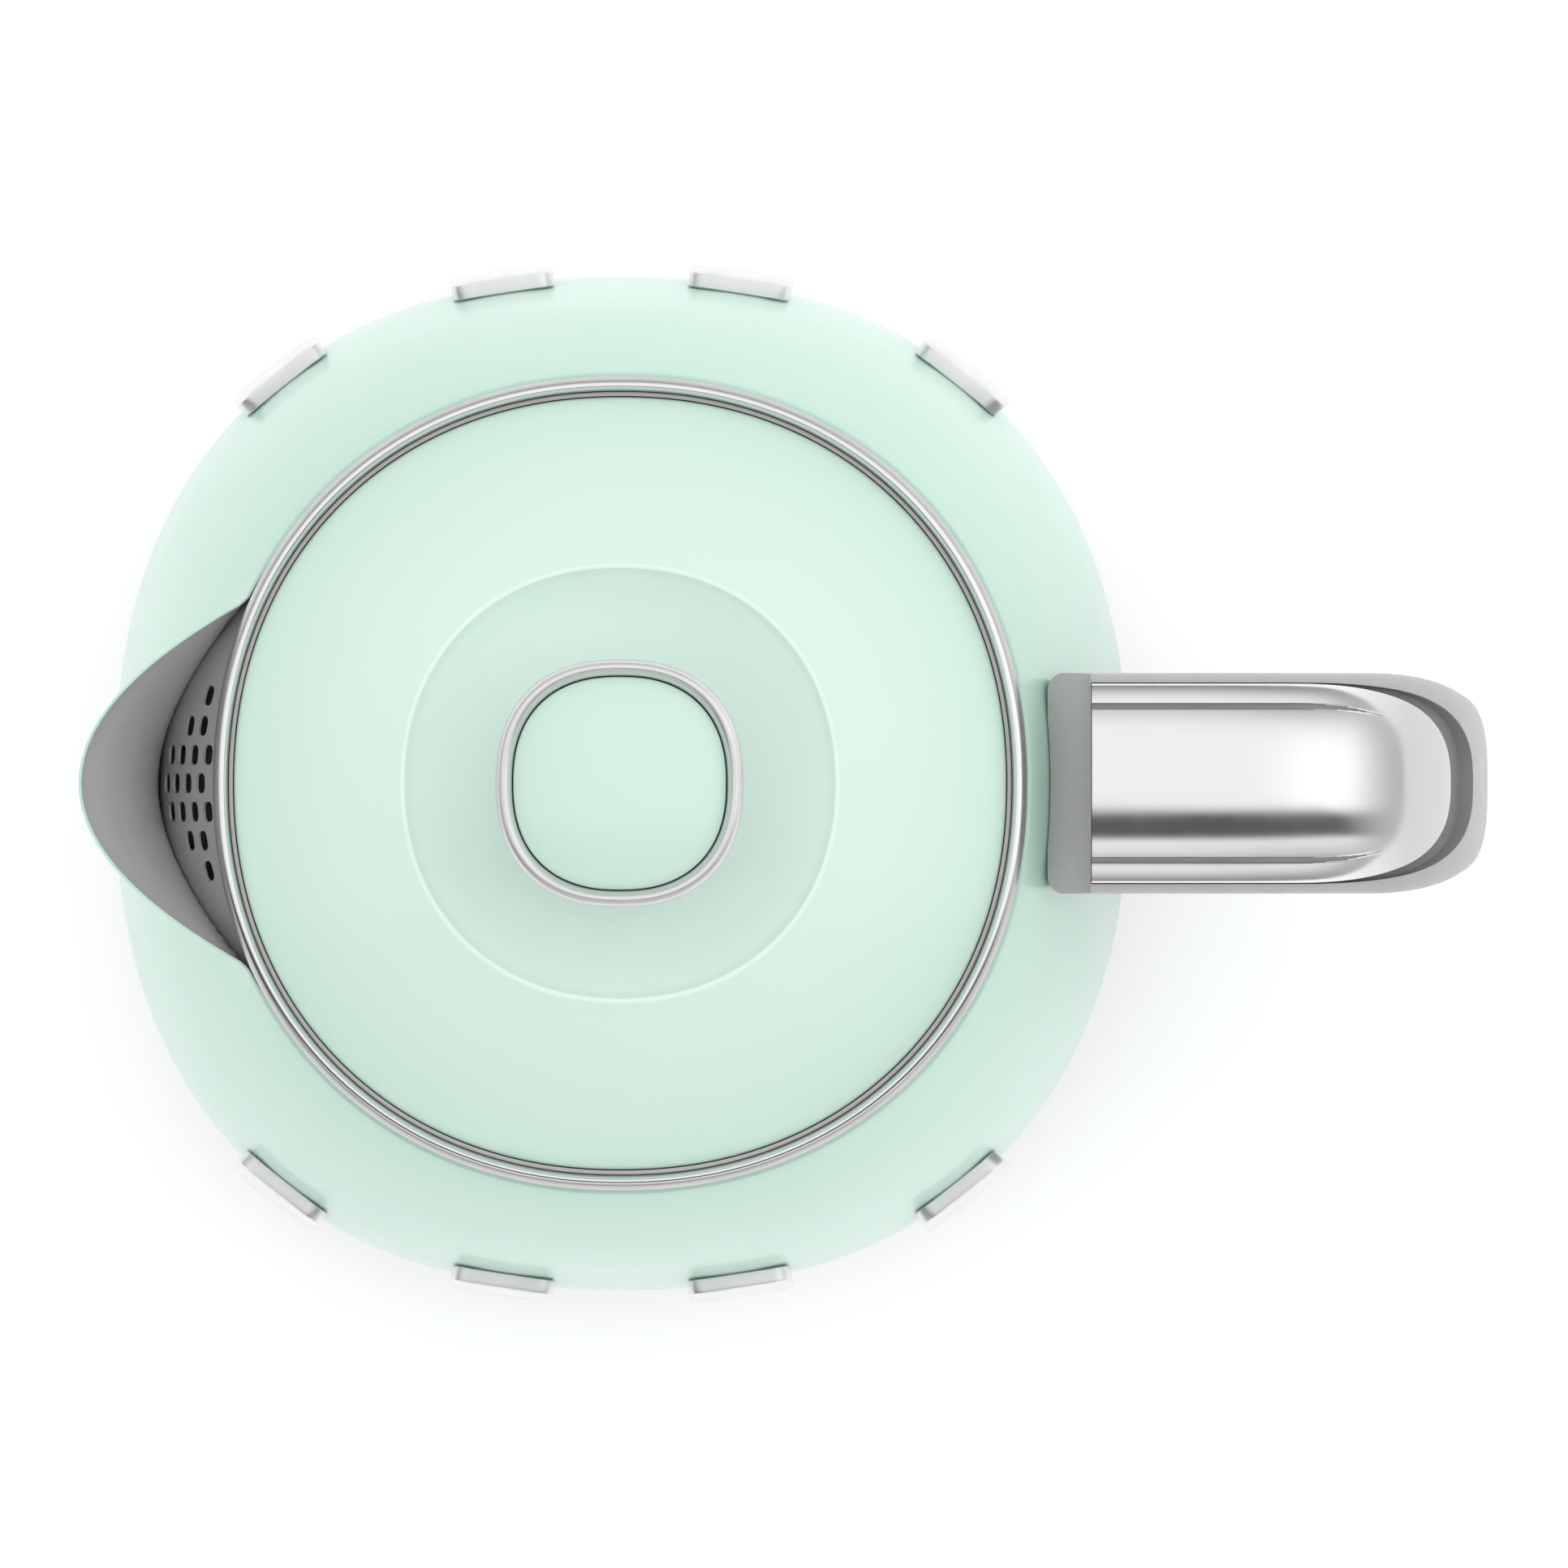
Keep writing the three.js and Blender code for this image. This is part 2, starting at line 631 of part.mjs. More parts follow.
// Two screws pull the grip liner up into the core: one into the top arm, one into the lower arm.
const SHANK_ROOM = 1.9;
const HEAD_ROOM = 3.4;
const UPPER_SCREW = { x: 84, low: 149.4, high: 160.5 };
const LOWER_SCREW = { x: 82, low: 59.6, high: 68.4 };
const shankRooms = [
  post(UPPER_SCREW.x, 0, SHANK_ROOM, 140, 161),
  post(LOWER_SCREW.x, 0, SHANK_ROOM, 59, 80),
];
const headRooms = [
  post(UPPER_SCREW.x, 0, HEAD_ROOM, 140, UPPER_SCREW.low + 2.4),
  post(LOWER_SCREW.x, 0, HEAD_ROOM, LOWER_SCREW.high - 2.4, 80),
];

piece(
  "handle_core",
  sweptHandle(handleSection(SPLIT + GAP / 2, 1))
    .subtract(pocket)
    .subtract(aboveBracket)
    .subtract(bodyKeepOut)
    .subtract(union(shankRooms)),
  satinGrey,
);

piece(
  "handle_grip",
  sweptHandle(handleSection(SPLIT - GAP / 2, -1))
    .subtract(bodyKeepOut)
    .subtract(union([...shankRooms, ...headRooms])),
  darkGrey,
);

piece(
  "handle_cap",
  sweptHandle(capSection, CAP_STEPS, CAP_REACH)
    .intersect(tongue(CAP_NOSE_X, CAP_HALF_WIDTH))
    .intersect(topFrom(CAP_START_X)),
  chrome,
);

const SHANK_R = 1.5;
const HEAD_R = 3;
const HEAD_THICK = 2;
function screw(x, y, low, high, headDown) {
  const head = headDown ? [low, low + HEAD_THICK] : [high - HEAD_THICK, high];
  return post(x, y, SHANK_R, low, high).add(post(x, y, HEAD_R, ...head));
}
piece("handle_screw_upper", screw(UPPER_SCREW.x, 0, UPPER_SCREW.low, UPPER_SCREW.high, true), steel);
piece("handle_screw_lower", screw(LOWER_SCREW.x, 0, LOWER_SCREW.low, LOWER_SCREW.high, false), steel);

// ---- badges ----

function badge(degrees, side) {
  const angle = THREE.MathUtils.degToRad(degrees * side);
  const n = bodySquareness(0, BADGE_Z);
  const r = bodyHalf(BADGE_Z) * squareFactor(angle, n);
  const x = r * Math.cos(angle);
  const y = r * Math.sin(angle);
  const lean = Math.atan2(bodyHalf(BADGE_Z - 1) - bodyHalf(BADGE_Z + 1), 2);
  const steep = (v) => Math.sign(v) * Math.abs(v) ** (n - 1);
  const flat = new THREE.Vector3(steep(x), steep(y), 0).normalize();
  const out = new THREE.Vector3(flat.x * Math.cos(lean), flat.y * Math.cos(lean), Math.sin(lean));
  const across = new THREE.Vector3(-flat.y, flat.x, 0);
  const up = new THREE.Vector3().crossVectors(out, across);
  const half = { w: BADGE_WIDTH / 2, h: BADGE_HEIGHT / 2, corner: 2.4 };
  const corners = [[1, 1], [-1, 1], [-1, -1], [1, -1]];
  const points = corners.flatMap(([sx, sy], i) =>
    span(3, (t) => {
      const turn = (Math.PI / 2) * (i + t);
      const cx = sx * (half.w - half.corner);
      const cy = sy * (half.h - half.corner);
      return [cx + half.corner * Math.cos(turn), cy + half.corner * Math.sin(turn)];
    }),
  );
  const place = new THREE.Matrix4().makeBasis(across, up, out);
  place.setPosition(x + out.x * GAP, y + out.y * GAP, BADGE_Z + out.z * GAP);
  return solid(prism(points, 0, BADGE_THICK).applyMatrix4(place));
}
const BADGE_SIDES = [
  ["left", 1],
  ["right", -1],
];
for (const [label, side] of BADGE_SIDES) {
  BADGE_ANGLES.forEach((degrees, i) => piece(`badge_${label}_${i + 1}`, badge(degrees, side), chrome));
}

// ---- water window and its gasket, at the back under the handle ----

piece(
  "level_window",
  bodyCore(-0.9, 70, 145, 10).subtract(bodyCore(WALL + 0.8, 69, 146, 10)).intersect(windowBlock(-GAP)),
  clear,
);
piece(
  "window_gasket",
  bodyCore(WALL + 0.45, 70, 145, 10)
    .subtract(bodyCore(WALL + 2.2, 69, 146, 10))
    .intersect(windowBlock(3))
    .subtract(windowBlock(GAP)),
  silicone,
);

// ---- jug floor, element and control ----

const floorHalf = bodyHalf(FLOOR_Z - 8) - WALL - GAP;
const BOSS_R = 52;
const BOSS_ANGLES = [70, 180, 290];
const plateBosses = BOSS_ANGLES.map((degrees) => {
  const [x, y] = polar(BOSS_R, degrees);
  return post(x, y, 3.4, 26, FLOOR_Z + 0.2).subtract(post(x, y, 1.8, 25, 40));
});
piece(
  "element_plate",
  union([
    turned(
      [
        [0, FLOOR_Z],
        [floorHalf - 3, FLOOR_Z],
        [floorHalf - 1.9, FLOOR_Z - 1.4],
        [floorHalf - 1.9, FLOOR_Z - 8],
        [floorHalf - 0.9, FLOOR_Z - 8],
        [floorHalf - 0.9, FLOOR_Z - 0.6],
        [floorHalf - 2.4, FLOOR_Z + 1.2],
        [0, FLOOR_Z + 1.2],
      ],
      SIDES,
      BODY_SQUARENESS,
    ),
    ...plateBosses,
  ]).subtract(post(STEAM_TUBE.x, STEAM_TUBE.y, STEAM_TUBE.outer + GAP, 30, 60, 20)),
  steel,
);

piece(
  "plate_seal",
  ring(
    [
      [floorHalf - 0.6, FLOOR_Z - 7],
      [floorHalf - 0.1, FLOOR_Z - 7],
      [floorHalf - 0.1, FLOOR_Z - 2],
      [floorHalf - 0.6, FLOOR_Z - 2],
    ],
    SIDES,
    BODY_SQUARENESS,
  ),
  silicone,
);

piece(
  "heat_spreader",
  turned([[0, FLOOR_Z - 2.4], [45, FLOOR_Z - 2.4], [45, FLOOR_Z - GAP], [0, FLOOR_Z - GAP]], 24),
  steel,
);

class ElementArc extends THREE.Curve {
  getPoint(t, target = new THREE.Vector3()) {
    const angle = Math.PI * (0.12 + 1.76 * t);
    return target.set(35 * Math.cos(angle), 35 * Math.sin(angle), FLOOR_Z - 6.3);
  }
}
const ELEMENT_R = 3.6;
const octagon = span(8, (t) => polar(ELEMENT_R, 360 * t)).slice(0, -1);
const elementPath = { steps: 22, extrudePath: new ElementArc(), bevelEnabled: false };
piece("heating_element", solid(new THREE.ExtrudeGeometry(outline(octagon), elementPath)), steel);

const pinHole = (pivot, r) => crossPin(pivot.x, pivot.z, r, 30);
const lug = (pivot, y0, y1, low, high) => block(pivot.x - 3.2, pivot.x + 3.2, y0, y1, low, high);
piece(
  "control_housing",
  union([
    block(-22, 22, -19, 19, 31.4, 40),
    block(20, 40.2, -12, 12, 31.4, 33.2),
    lug(ROCKER_PIVOT, 7.6, 10, 24.6, 32),
    lug(ROCKER_PIVOT, -10, -7.6, 24.6, 32),
  ]).subtract(pinHole(ROCKER_PIVOT, PIN_R + GAP)),
  black,
);
piece("bimetal_disc", turned([[0, 40.4], [9, 40.7], [9, 41.1], [0, 40.9]], SMALL_SIDES), brass);
piece("rocker_pin", crossPin(ROCKER_PIVOT.x, ROCKER_PIVOT.z, PIN_R, 11), steel);

const arc = (pivot, r, from, to, count = 6) =>
  span(count, (t) => {
    const a = THREE.MathUtils.degToRad(from + t * (to - from));
    return [pivot.x + r * Math.cos(a), pivot.z + r * Math.sin(a)];
  });
piece(
  "control_rocker",
  slab(
    [
      ...arc(ROCKER_PIVOT, 2.9, 40, 150),
      [ROCKER_PIVOT.x - 11, ROCKER_PIVOT.z + 1],
      [ROCKER_PIVOT.x - 11, ROCKER_PIVOT.z - 1.2],
      ...arc(ROCKER_PIVOT, 2.9, 205, 310),
      [ROCKER_PIVOT.x + 6, ROCKER_PIVOT.z + 3],
      [ROCKER_PIVOT.x + 9.2, ROCKER_PIVOT.z + 3.2],
      [ROCKER_PIVOT.x + 9.8, ROCKER_PIVOT.z + 2.6],
      [ROCKER_PIVOT.x + 12, ROCKER_PIVOT.z + 2.6],
      [ROCKER_PIVOT.x + 12.4, ROCKER_PIVOT.z + 4.2],
      [ROCKER_PIVOT.x + 5, ROCKER_PIVOT.z + 4],
    ],
    6.8,
  ).subtract(pinHole(ROCKER_PIVOT, PIN_R + GAP)),
  black,
);

piece(
  "steam_tube",
  post(STEAM_TUBE.x, STEAM_TUBE.y, STEAM_TUBE.outer, 34, 149, 20).subtract(
    post(STEAM_TUBE.x, STEAM_TUBE.y, STEAM_TUBE.bore, 30, 160, 20),
  ),
  steel,
);

// ---- foot ring and bottom cover of the jug ----

const footHalf = bodyHalf(BODY_BOTTOM_Z);
piece(
  "foot_ring",
  ring(
    [
      [footHalf - 5.4, 15],
      [footHalf - 2.6, 15],
      [footHalf - 0.7, 16.2],
      [footHalf + 0.2, 18.4],
      [footHalf + 0.1, BODY_BOTTOM_Z - GAP],
      [footHalf - 3.2, BODY_BOTTOM_Z - GAP],
      [footHalf - 3.2, 18.3],
      [footHalf - 5.4, 18.3],
    ],
    SIDES,
    BODY_SQUARENESS,
  ),
  chrome,
);

const coverScrewRooms = BOSS_ANGLES.flatMap((degrees) => {
  const [x, y] = polar(BOSS_R, degrees);
  return [post(x, y, 1.9, 10, 30), post(x, y, 3.3, 10, 19.4)];
});
piece(
  "jug_bottom_cover",
  union([
    ring(
      [
        [SOCKET_OUTER + 0.5, 16.6],
        [SOCKET_OUTER + 2.4, 16.6],
        [SOCKET_OUTER + 2.4, 18.2],
        [footHalf - 5.6, 18.6],
        [footHalf - 3.5, 18.6],
        [footHalf - 3.5, COVER_TOP_Z],
        [SOCKET_OUTER + 2.4, COVER_TOP_Z],
        [SOCKET_OUTER + 2.4, 24],
        [SOCKET_OUTER + 0.5, 24],
      ],
      SIDES,
      (r) => (r > 40 ? BODY_SQUARENESS : ROUND),
    ),
    lug(LEVER_PIVOT, 10.8, 13.2, COVER_TOP_Z - 0.4, 34.4),
    lug(LEVER_PIVOT, -13.2, -10.8, COVER_TOP_Z - 0.4, 34.4),
  ])
    .subtract(union(coverScrewRooms))
    .subtract(pinHole(LEVER_PIVOT, PIN_R + GAP)),
  darkGrey,
);
BOSS_ANGLES.forEach((degrees, i) => {
  const [x, y] = polar(BOSS_R, degrees);
  piece(`cover_screw_${i + 1}`, screw(x, y, 17, 34, true), steel);
});

// ---- switch lever ----

piece("lever_pin", crossPin(LEVER_PIVOT.x, LEVER_PIVOT.z, PIN_R, 14.4), steel);

const paddleTop = [
  [LEVER_PIVOT.x + 12, 32.6],
  [LEVER_PIVOT.x + 18, 32.8],
  [LEVER_PIVOT.x + 25, 34.4],
  [LEVER_PIVOT.x + 30.5, 37.2],
];
const paddleUnder = [
  [LEVER_PIVOT.x + 33, 36.6],
  [LEVER_PIVOT.x + 32.4, 34.4],
  [LEVER_PIVOT.x + 26, 30.8],
  [LEVER_PIVOT.x + 18, 28.8],
  [LEVER_PIVOT.x + 11, 28.6],
];
const lensSeat = (grow) => block(74 - grow, 77.4 + grow, -5 - grow, 5 + grow, 31.6 - grow, 40);
const leverTail = block(LEVER_PIVOT.x - 11, LEVER_PIVOT.x - 1.8, -9, 9, 28.2, 29.6).add(
  crossPin(LEVER_PIVOT.x, LEVER_PIVOT.z, 3.6, 9.4, 20),
);
const paddleRoot = [
  [LEVER_PIVOT.x + 2, 28.8],
  [LEVER_PIVOT.x + 2, 32.4],
];
const paddle = slab([...paddleTop, ...paddleUnder, ...paddleRoot], 9.4, 1);
piece(
  "switch_lever",
  paddle.add(leverTail).subtract(pinHole(LEVER_PIVOT, PIN_R + GAP)).subtract(lensSeat(GAP)),
  satinGrey,
);
piece("power_lens", lensSeat(0).intersect(block(70, 80, -6, 6, 30, 33.3)), amber);

// ---- socket and power base ----

piece(
  "base_socket",
  ring(
    [
      [12.6, 17],
      [SOCKET_OUTER, 17],
      [SOCKET_OUTER, 26],
      [17.4, 30.6],
      [4.4, 30.6],
      [4.4, 28.4],
      [12.6, 28.4],
    ],
    24,
  ),
  black,
);

piece(
  "base_connector",
  ring(
    [
      [3.4, 9],
      [18, 9],
      [18, 14.8],
      [12, 15.4],
      [12, 24.6],
      [11, 26],
      [9.4, 26],
      [9.4, 21],
      [6.6, 21],
      [6.6, 27],
      [3.4, 27.4],
    ],
    24,
  ),
  black,
);
piece("earth_pin", turned([[0, 10], [3.1, 10], [3.1, 28.6], [1.6, 30.2], [0, 30.6]], SMALL_SIDES), brass);
piece("live_ring", ring([[7.2, 21.3], [8.8, 21.3], [8.8, 25], [7.2, 25]], SMALL_SIDES), brass);

// A round bar along X, on the cord's line through the back of the base.
function glandBar(r, from, to) {
  const geometry = new THREE.CylinderGeometry(r, r, to - from, 16).rotateZ(Math.PI / 2);
  return solid(geometry.translate((from + to) / 2, 0, GLAND_Z));
}
const BASE_BOSS_R = 44;
const BASE_BOSS_ANGLES = [30, 150, 270];
const baseBosses = BASE_BOSS_ANGLES.map((degrees) => {
  const [x, y] = polar(BASE_BOSS_R, degrees);
  return post(x, y, 3.4, 5.3, BASE_TOP_Z - 1).subtract(post(x, y, 1.8, 5, 11.6));
});
piece(
  "base_cover",
  union([
    ring(
      [
        [BASE_R, 2.4],
        [BASE_R, 9],
        [BASE_R - 1.6, 12.2],
        [BASE_R - 8, BASE_TOP_Z],
        [23, BASE_TOP_Z],
        [18.4, BASE_TOP_Z - 2.4],
        [18.4, BASE_TOP_Z - 4.4],
        [BASE_R - 9, BASE_TOP_Z - 2],
        [BASE_R - 2, 8],
        [BASE_R - 2, 2.4],
      ],
      SIDES,
    ),
    ...baseBosses,
  ]).subtract(glandBar(5.4, 50, 70)),
  satinGrey,
);

const FOOT_ANGLES = [45, 135, 225, 315];
const UNDERSIDE_TOP_Z = 5;
const underside = turned(
  [
    [0, BASE_UNDER_Z],
    [BASE_R - 4, BASE_UNDER_Z],
    [BASE_R - 2.4, 2.4],
    [BASE_R - 2.4, UNDERSIDE_TOP_Z],
    [0, UNDERSIDE_TOP_Z],
  ],
  SIDES,
);
const footRooms = FOOT_ANGLES.map((degrees) => post(...polar(FOOT_RING_R, degrees), 5.9, 0, 2.4, 16));
const baseScrewRooms = BASE_BOSS_ANGLES.flatMap((degrees) => {
  const [x, y] = polar(BASE_BOSS_R, degrees);
  return [post(x, y, 1.9, 0, 8), post(x, y, 3.4, 0, 3.6)];
});
const undersideHoles = union([...footRooms, ...baseScrewRooms, glandBar(5.4, 50, 70)]);
piece("base_underside", underside.subtract(undersideHoles), darkGrey);
FOOT_ANGLES.forEach((degrees, i) => {
  piece(`rubber_foot_${i + 1}`, post(...polar(FOOT_RING_R, degrees), 5.5, 0, 2.1, 16), rubber);
});
BASE_BOSS_ANGLES.forEach((degrees, i) => {
  piece(`base_screw_${i + 1}`, screw(...polar(BASE_BOSS_R, degrees), 1.3, 10.6, true), steel);
});

piece(
  "cord_gland",
  union([glandBar(5, 57.5, 66), glandBar(6.8, 66, 68.4)]).subtract(glandBar(3.4, 50, 80)),
  rubber,
);

export default kettle;
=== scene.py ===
"""The visible model of a compact retro jug kettle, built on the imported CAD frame.

Shapes are worked out in millimetres and turned into metres when a mesh is made. The jug's axis is the
Z axis, the handle points along +X and the spout along -X. The jug, its rim, lid and knob are soft squares
in plan: superellipses with an exponent a little over 2. The power base is round.
"""

import json
import math

import bmesh
import bpy
from mathutils import Matrix, Vector


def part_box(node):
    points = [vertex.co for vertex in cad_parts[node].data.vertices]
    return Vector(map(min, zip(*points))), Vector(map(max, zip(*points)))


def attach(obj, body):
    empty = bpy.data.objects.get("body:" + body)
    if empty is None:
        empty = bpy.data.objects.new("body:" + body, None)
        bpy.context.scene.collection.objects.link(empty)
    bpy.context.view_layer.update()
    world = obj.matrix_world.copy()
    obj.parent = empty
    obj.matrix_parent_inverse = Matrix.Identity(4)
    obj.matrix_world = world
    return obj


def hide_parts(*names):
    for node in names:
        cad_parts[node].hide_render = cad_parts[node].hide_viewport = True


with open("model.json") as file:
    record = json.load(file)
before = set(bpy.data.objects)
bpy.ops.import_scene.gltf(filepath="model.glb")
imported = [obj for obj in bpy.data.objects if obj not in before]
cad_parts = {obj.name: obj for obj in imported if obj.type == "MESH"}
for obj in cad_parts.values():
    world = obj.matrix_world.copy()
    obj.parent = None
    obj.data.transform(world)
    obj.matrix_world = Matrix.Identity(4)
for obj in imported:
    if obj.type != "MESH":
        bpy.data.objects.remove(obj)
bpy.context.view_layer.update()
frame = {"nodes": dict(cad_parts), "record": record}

MM = 0.001


# ---- sizes read from the frame, in millimetres ----

X, Y, Z = 0, 1, 2


def low(node, axis):
    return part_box(node)[0][axis] / MM


def high(node, axis):
    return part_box(node)[1][axis] / MM


def corners_of(node):
    return [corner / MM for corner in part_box(node)]


def middle_of(node):
    lo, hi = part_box(node)
    return (lo + hi) / 2 / MM


def node_centre(node):
    """The middle of a node in plan."""
    lo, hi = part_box(node)
    return (lo.x + hi.x) / 2 / MM, (lo.y + hi.y) / 2 / MM


BODY_BOTTOM = low("body_shell", Z)
BODY_HALF = high("body_shell", Y)
SPOUT_TIP = low("body_shell", X)
SPOUT_TIP_Z = high("body_shell", Z)
RIM_OUTER = high("rim_ring", Y)
RIM_TOP = high("rim_ring", Z)
SLEEVE_BOTTOM = low("rim_ring", Z)
LID_HALF = high("lid_cover", Y)
LID_SKIRT = low("lid_cover", Z)
KNOB_HALF = high("knob_cup", Y)
KNOB_LOW = low("knob_cup", Z)
KNOB_TOP = high("knob_insert", Z)
KNOB_RIM = high("knob_cup", Z)
INSERT_HALF = high("knob_insert", Y)
INSERT_LOW = low("knob_insert", Z)
HANDLE_ROOT = low("handle_core", X)
HANDLE_END = high("handle_core", X)
HANDLE_HALF = high("handle_core", Y)
CAP_START = low("handle_cap", X)
CAP_NOSE = high("handle_cap", X)
CAP_HALF = high("handle_cap", Y)
BASE_HALF = high("base_cover", Y)
BASE_TOP = high("base_cover", Z)
FLOOR_TOP = high("element_plate", Z)

# shape values that a box doesn't tell
BODY_WIDEST = 66
BODY_SHOULDER = 163
BODY_CURVE = 2.6
BODY_RISE = 134.2
BODY_DROP = 94
BODY_SQUARE = 2.33
RIM_SQUARE = 2.13
KNOB_SQUARE = 2.36
ROUND = 2
WALL = 1.2
GAP = 0.3
SPOUT_WIDENING = 28.5
SPOUT_FOOT = 136
SPOUT_UNDERCUT = 12.6
LIP_START = -52
LIP_WALL = 0.45
LID_CREASE = 30.6
DISH_FLOOR = 169.8
HANDLE_MIDDLE = 110
HANDLE_RISE = 48
HANDLE_THICK = 8.2
HANDLE_CURVE = 3.4
HANDLE_SECTION = 3.2
HANDLE_NARROWING = 0.15
FILTER_AXIS = -28.4
WINDOW_LOW = 84
WINDOW_HIGH = 132
WINDOW_HALF = 4.5


# ---- node-based materials ----

def ranged(tree, value, start, end, first, second, interpolation="LINEAR"):
    """A value that runs from first to second while the value given runs from start to end."""
    node = tree.nodes.new("ShaderNodeMapRange")
    node.interpolation_type = interpolation
    for socket, number in zip(("From Min", "From Max", "To Min", "To Max"), (start, end, first, second)):
        node.inputs[socket].default_value = number
    tree.links.new(value, node.inputs["Value"])
    return node.outputs["Result"]


class Shader:
    """A material's node tree, with short calls for the nodes that every finish here uses."""

    def __init__(self, name, **sockets):
        self.material = bpy.data.materials.new(name)
        self.material.use_nodes = True
        self.tree = self.material.node_tree
        self.surface = self.tree.nodes["Principled BSDF"]
        for socket, value in sockets.items():
            self.surface.inputs[socket.replace("_", " ")].default_value = value
        self.place = self.tree.nodes.new("ShaderNodeTexCoord").outputs["Object"]

    def link(self, source, target):
        self.tree.links.new(source, target)

    def stretched(self, scale):
        """Object coordinates stretched along the axes, for brush marks."""
        mapping = self.tree.nodes.new("ShaderNodeMapping")
        mapping.inputs["Scale"].default_value = scale
        self.link(self.place, mapping.inputs["Vector"])
        return mapping.outputs["Vector"]

    def noise(self, scale, detail=2.0, vector=None):
        node = self.tree.nodes.new("ShaderNodeTexNoise")
        node.inputs["Scale"].default_value = scale
        node.inputs["Detail"].default_value = detail
        self.link(vector or self.place, node.inputs["Vector"])
        return node.outputs["Fac"]

    def cells(self, scale):
        node = self.tree.nodes.new("ShaderNodeTexVoronoi")
        node.inputs["Scale"].default_value = scale
        self.link(self.place, node.inputs["Vector"])
        return node.outputs["Distance"]

    def radial(self, start, end):
        """A factor that runs from 0 to 1 as the distance from the Z axis goes from start to end."""
        flat = self.tree.nodes.new("ShaderNodeMapping")
        flat.inputs["Scale"].default_value = (1, 1, 0)
        self.link(self.place, flat.inputs["Vector"])
        length = self.tree.nodes.new("ShaderNodeVectorMath")
        length.operation = "LENGTH"
        self.link(flat.outputs["Vector"], length.inputs[0])
        return ranged(self.tree, length.outputs["Value"], start, end, 0.0, 1.0)

    def spread(self, factor, start, end):
        """A factor from 0.3 to 0.7, where noise mostly lies, spread from start to end."""
        return ranged(self.tree, factor, 0.3, 0.7, start, end)

    def colour(self, factor, first, second):
        node = self.tree.nodes.new("ShaderNodeMix")
        node.data_type = "RGBA"
        node.inputs["A"].default_value = (*first, 1)
        node.inputs["B"].default_value = (*second, 1)
        self.link(factor, node.inputs["Factor"])
        self.link(node.outputs["Result"], self.surface.inputs["Base Color"])

    def roughness(self, factor, start, end):
        self.link(self.spread(factor, start, end), self.surface.inputs["Roughness"])

    def bump(self, height, distance, strength=1.0):
        """Relief of that depth in metres. A second call adds to the first."""
        node = self.tree.nodes.new("ShaderNodeBump")
        node.inputs["Distance"].default_value = distance
        node.inputs["Strength"].default_value = strength
        self.link(height, node.inputs["Height"])
        normal = self.surface.inputs["Normal"]
        if normal.is_linked:
            self.link(normal.links[0].from_socket, node.inputs["Normal"])
        self.link(node.outputs["Normal"], normal)


def grey(value):
    return (value, value, value)


def enamel(name, first, second, fade=None):
    """Gloss paint: a soft orange-peel ripple under a clear coat. The tone drifts faintly at random, or, given
    a fade, runs from one radius to another as painted light."""
    made = Shader(name, Coat_Weight=0.25, Coat_Roughness=0.08, IOR=1.4)
    factor = made.radial(fade[0] * MM, fade[1] * MM) if fade else made.noise(9, 1)
    made.colour(factor, first, second)
    made.roughness(made.noise(60, 2), 0.30, 0.36)
    made.bump(made.noise(520, 2), 0.000006, 0.3)
    return made.material


def crease_highlight_enamel():
    """The same paint made paler for the ring along the lid's crease: a painted highlight on the crease's
    edge.
    """
    made = Shader("mint_enamel_painted_highlight", Coat_Weight=0.25, Coat_Roughness=0.08, IOR=1.4)
    made.colour(made.noise(9, 1), (0.80, 0.96, 0.87), (0.84, 0.98, 0.90))
    made.roughness(made.noise(60, 2), 0.28, 0.34)
    return made.material


def polished_chrome(name, first, second, fade=None):
    """Mirror plating with a trace of wiping marks. The tone drifts faintly at random, or, given a fade, runs
    from one tone to another between two radii as painted shade."""
    made = Shader(name, Metallic=1.0)
    factor = made.radial(fade[0] * MM, fade[1] * MM) if fade else made.noise(30, 3)
    made.colour(factor, grey(first), grey(second))
    made.roughness(made.noise(160, 3), 0.13, 0.18)
    made.bump(made.noise(700, 3, made.stretched((0.15, 2, 1))), 0.000003, 0.3)
    return made.material


def satin_chrome(name, first, second):
    """Rough plating in a tone the caller gives: dark, it paints the shade in a groove or on a sloping edge;
    light, it is plain satin plating.
    """
    made = Shader(name, Metallic=1.0)
    made.colour(made.noise(90, 3), grey(first), grey(second))
    made.roughness(made.noise(160, 3), 0.34, 0.44)
    made.bump(made.noise(700, 2), 0.000004, 0.3)
    return made.material


def satin_grey():
    """Silver-grey paint on moulded plastic: fine metal flake under a satin surface."""
    made = Shader("satin_grey", Metallic=0.12, Coat_Weight=0.1, Coat_Roughness=0.4)
    made.colour(made.noise(1800, 2), (0.41, 0.405, 0.407), (0.47, 0.465, 0.467))
    made.roughness(made.noise(220, 3), 0.36, 0.46)
    made.bump(made.noise(1500, 3), 0.00002, 0.4)
    return made.material


def moulded(name, first, second, rough=(0.5, 0.62)):
    """Spark-eroded moulded plastic: a fine even grain."""
    made = Shader(name, IOR=1.48)
    made.colour(made.noise(35, 3), first, second)
    made.roughness(made.noise(300, 4), *rough)
    made.bump(made.cells(2600), 0.00004, 0.35)
    return made.material


def brushed_steel(name, stretch, first, second, rough, metallic=1.0):
    """Bare stainless sheet with fine brush marks across the stretched axes."""
    made = Shader(name, Metallic=metallic)
    marks = made.noise(60, 6, made.stretched(stretch))
    made.colour(marks, first, second)
    made.roughness(marks, *rough)
    made.bump(marks, 0.000008, 0.3)
    return made.material


def soft_rubber(name, first, second):
    """Moulded rubber or silicone with a dull bloom."""
    made = Shader(name, IOR=1.42)
    made.colour(made.noise(60, 4), first, second)
    made.roughness(made.noise(240, 3), 0.62, 0.8)
    made.bump(made.noise(1200, 3), 0.00004, 0.4)
    return made.material


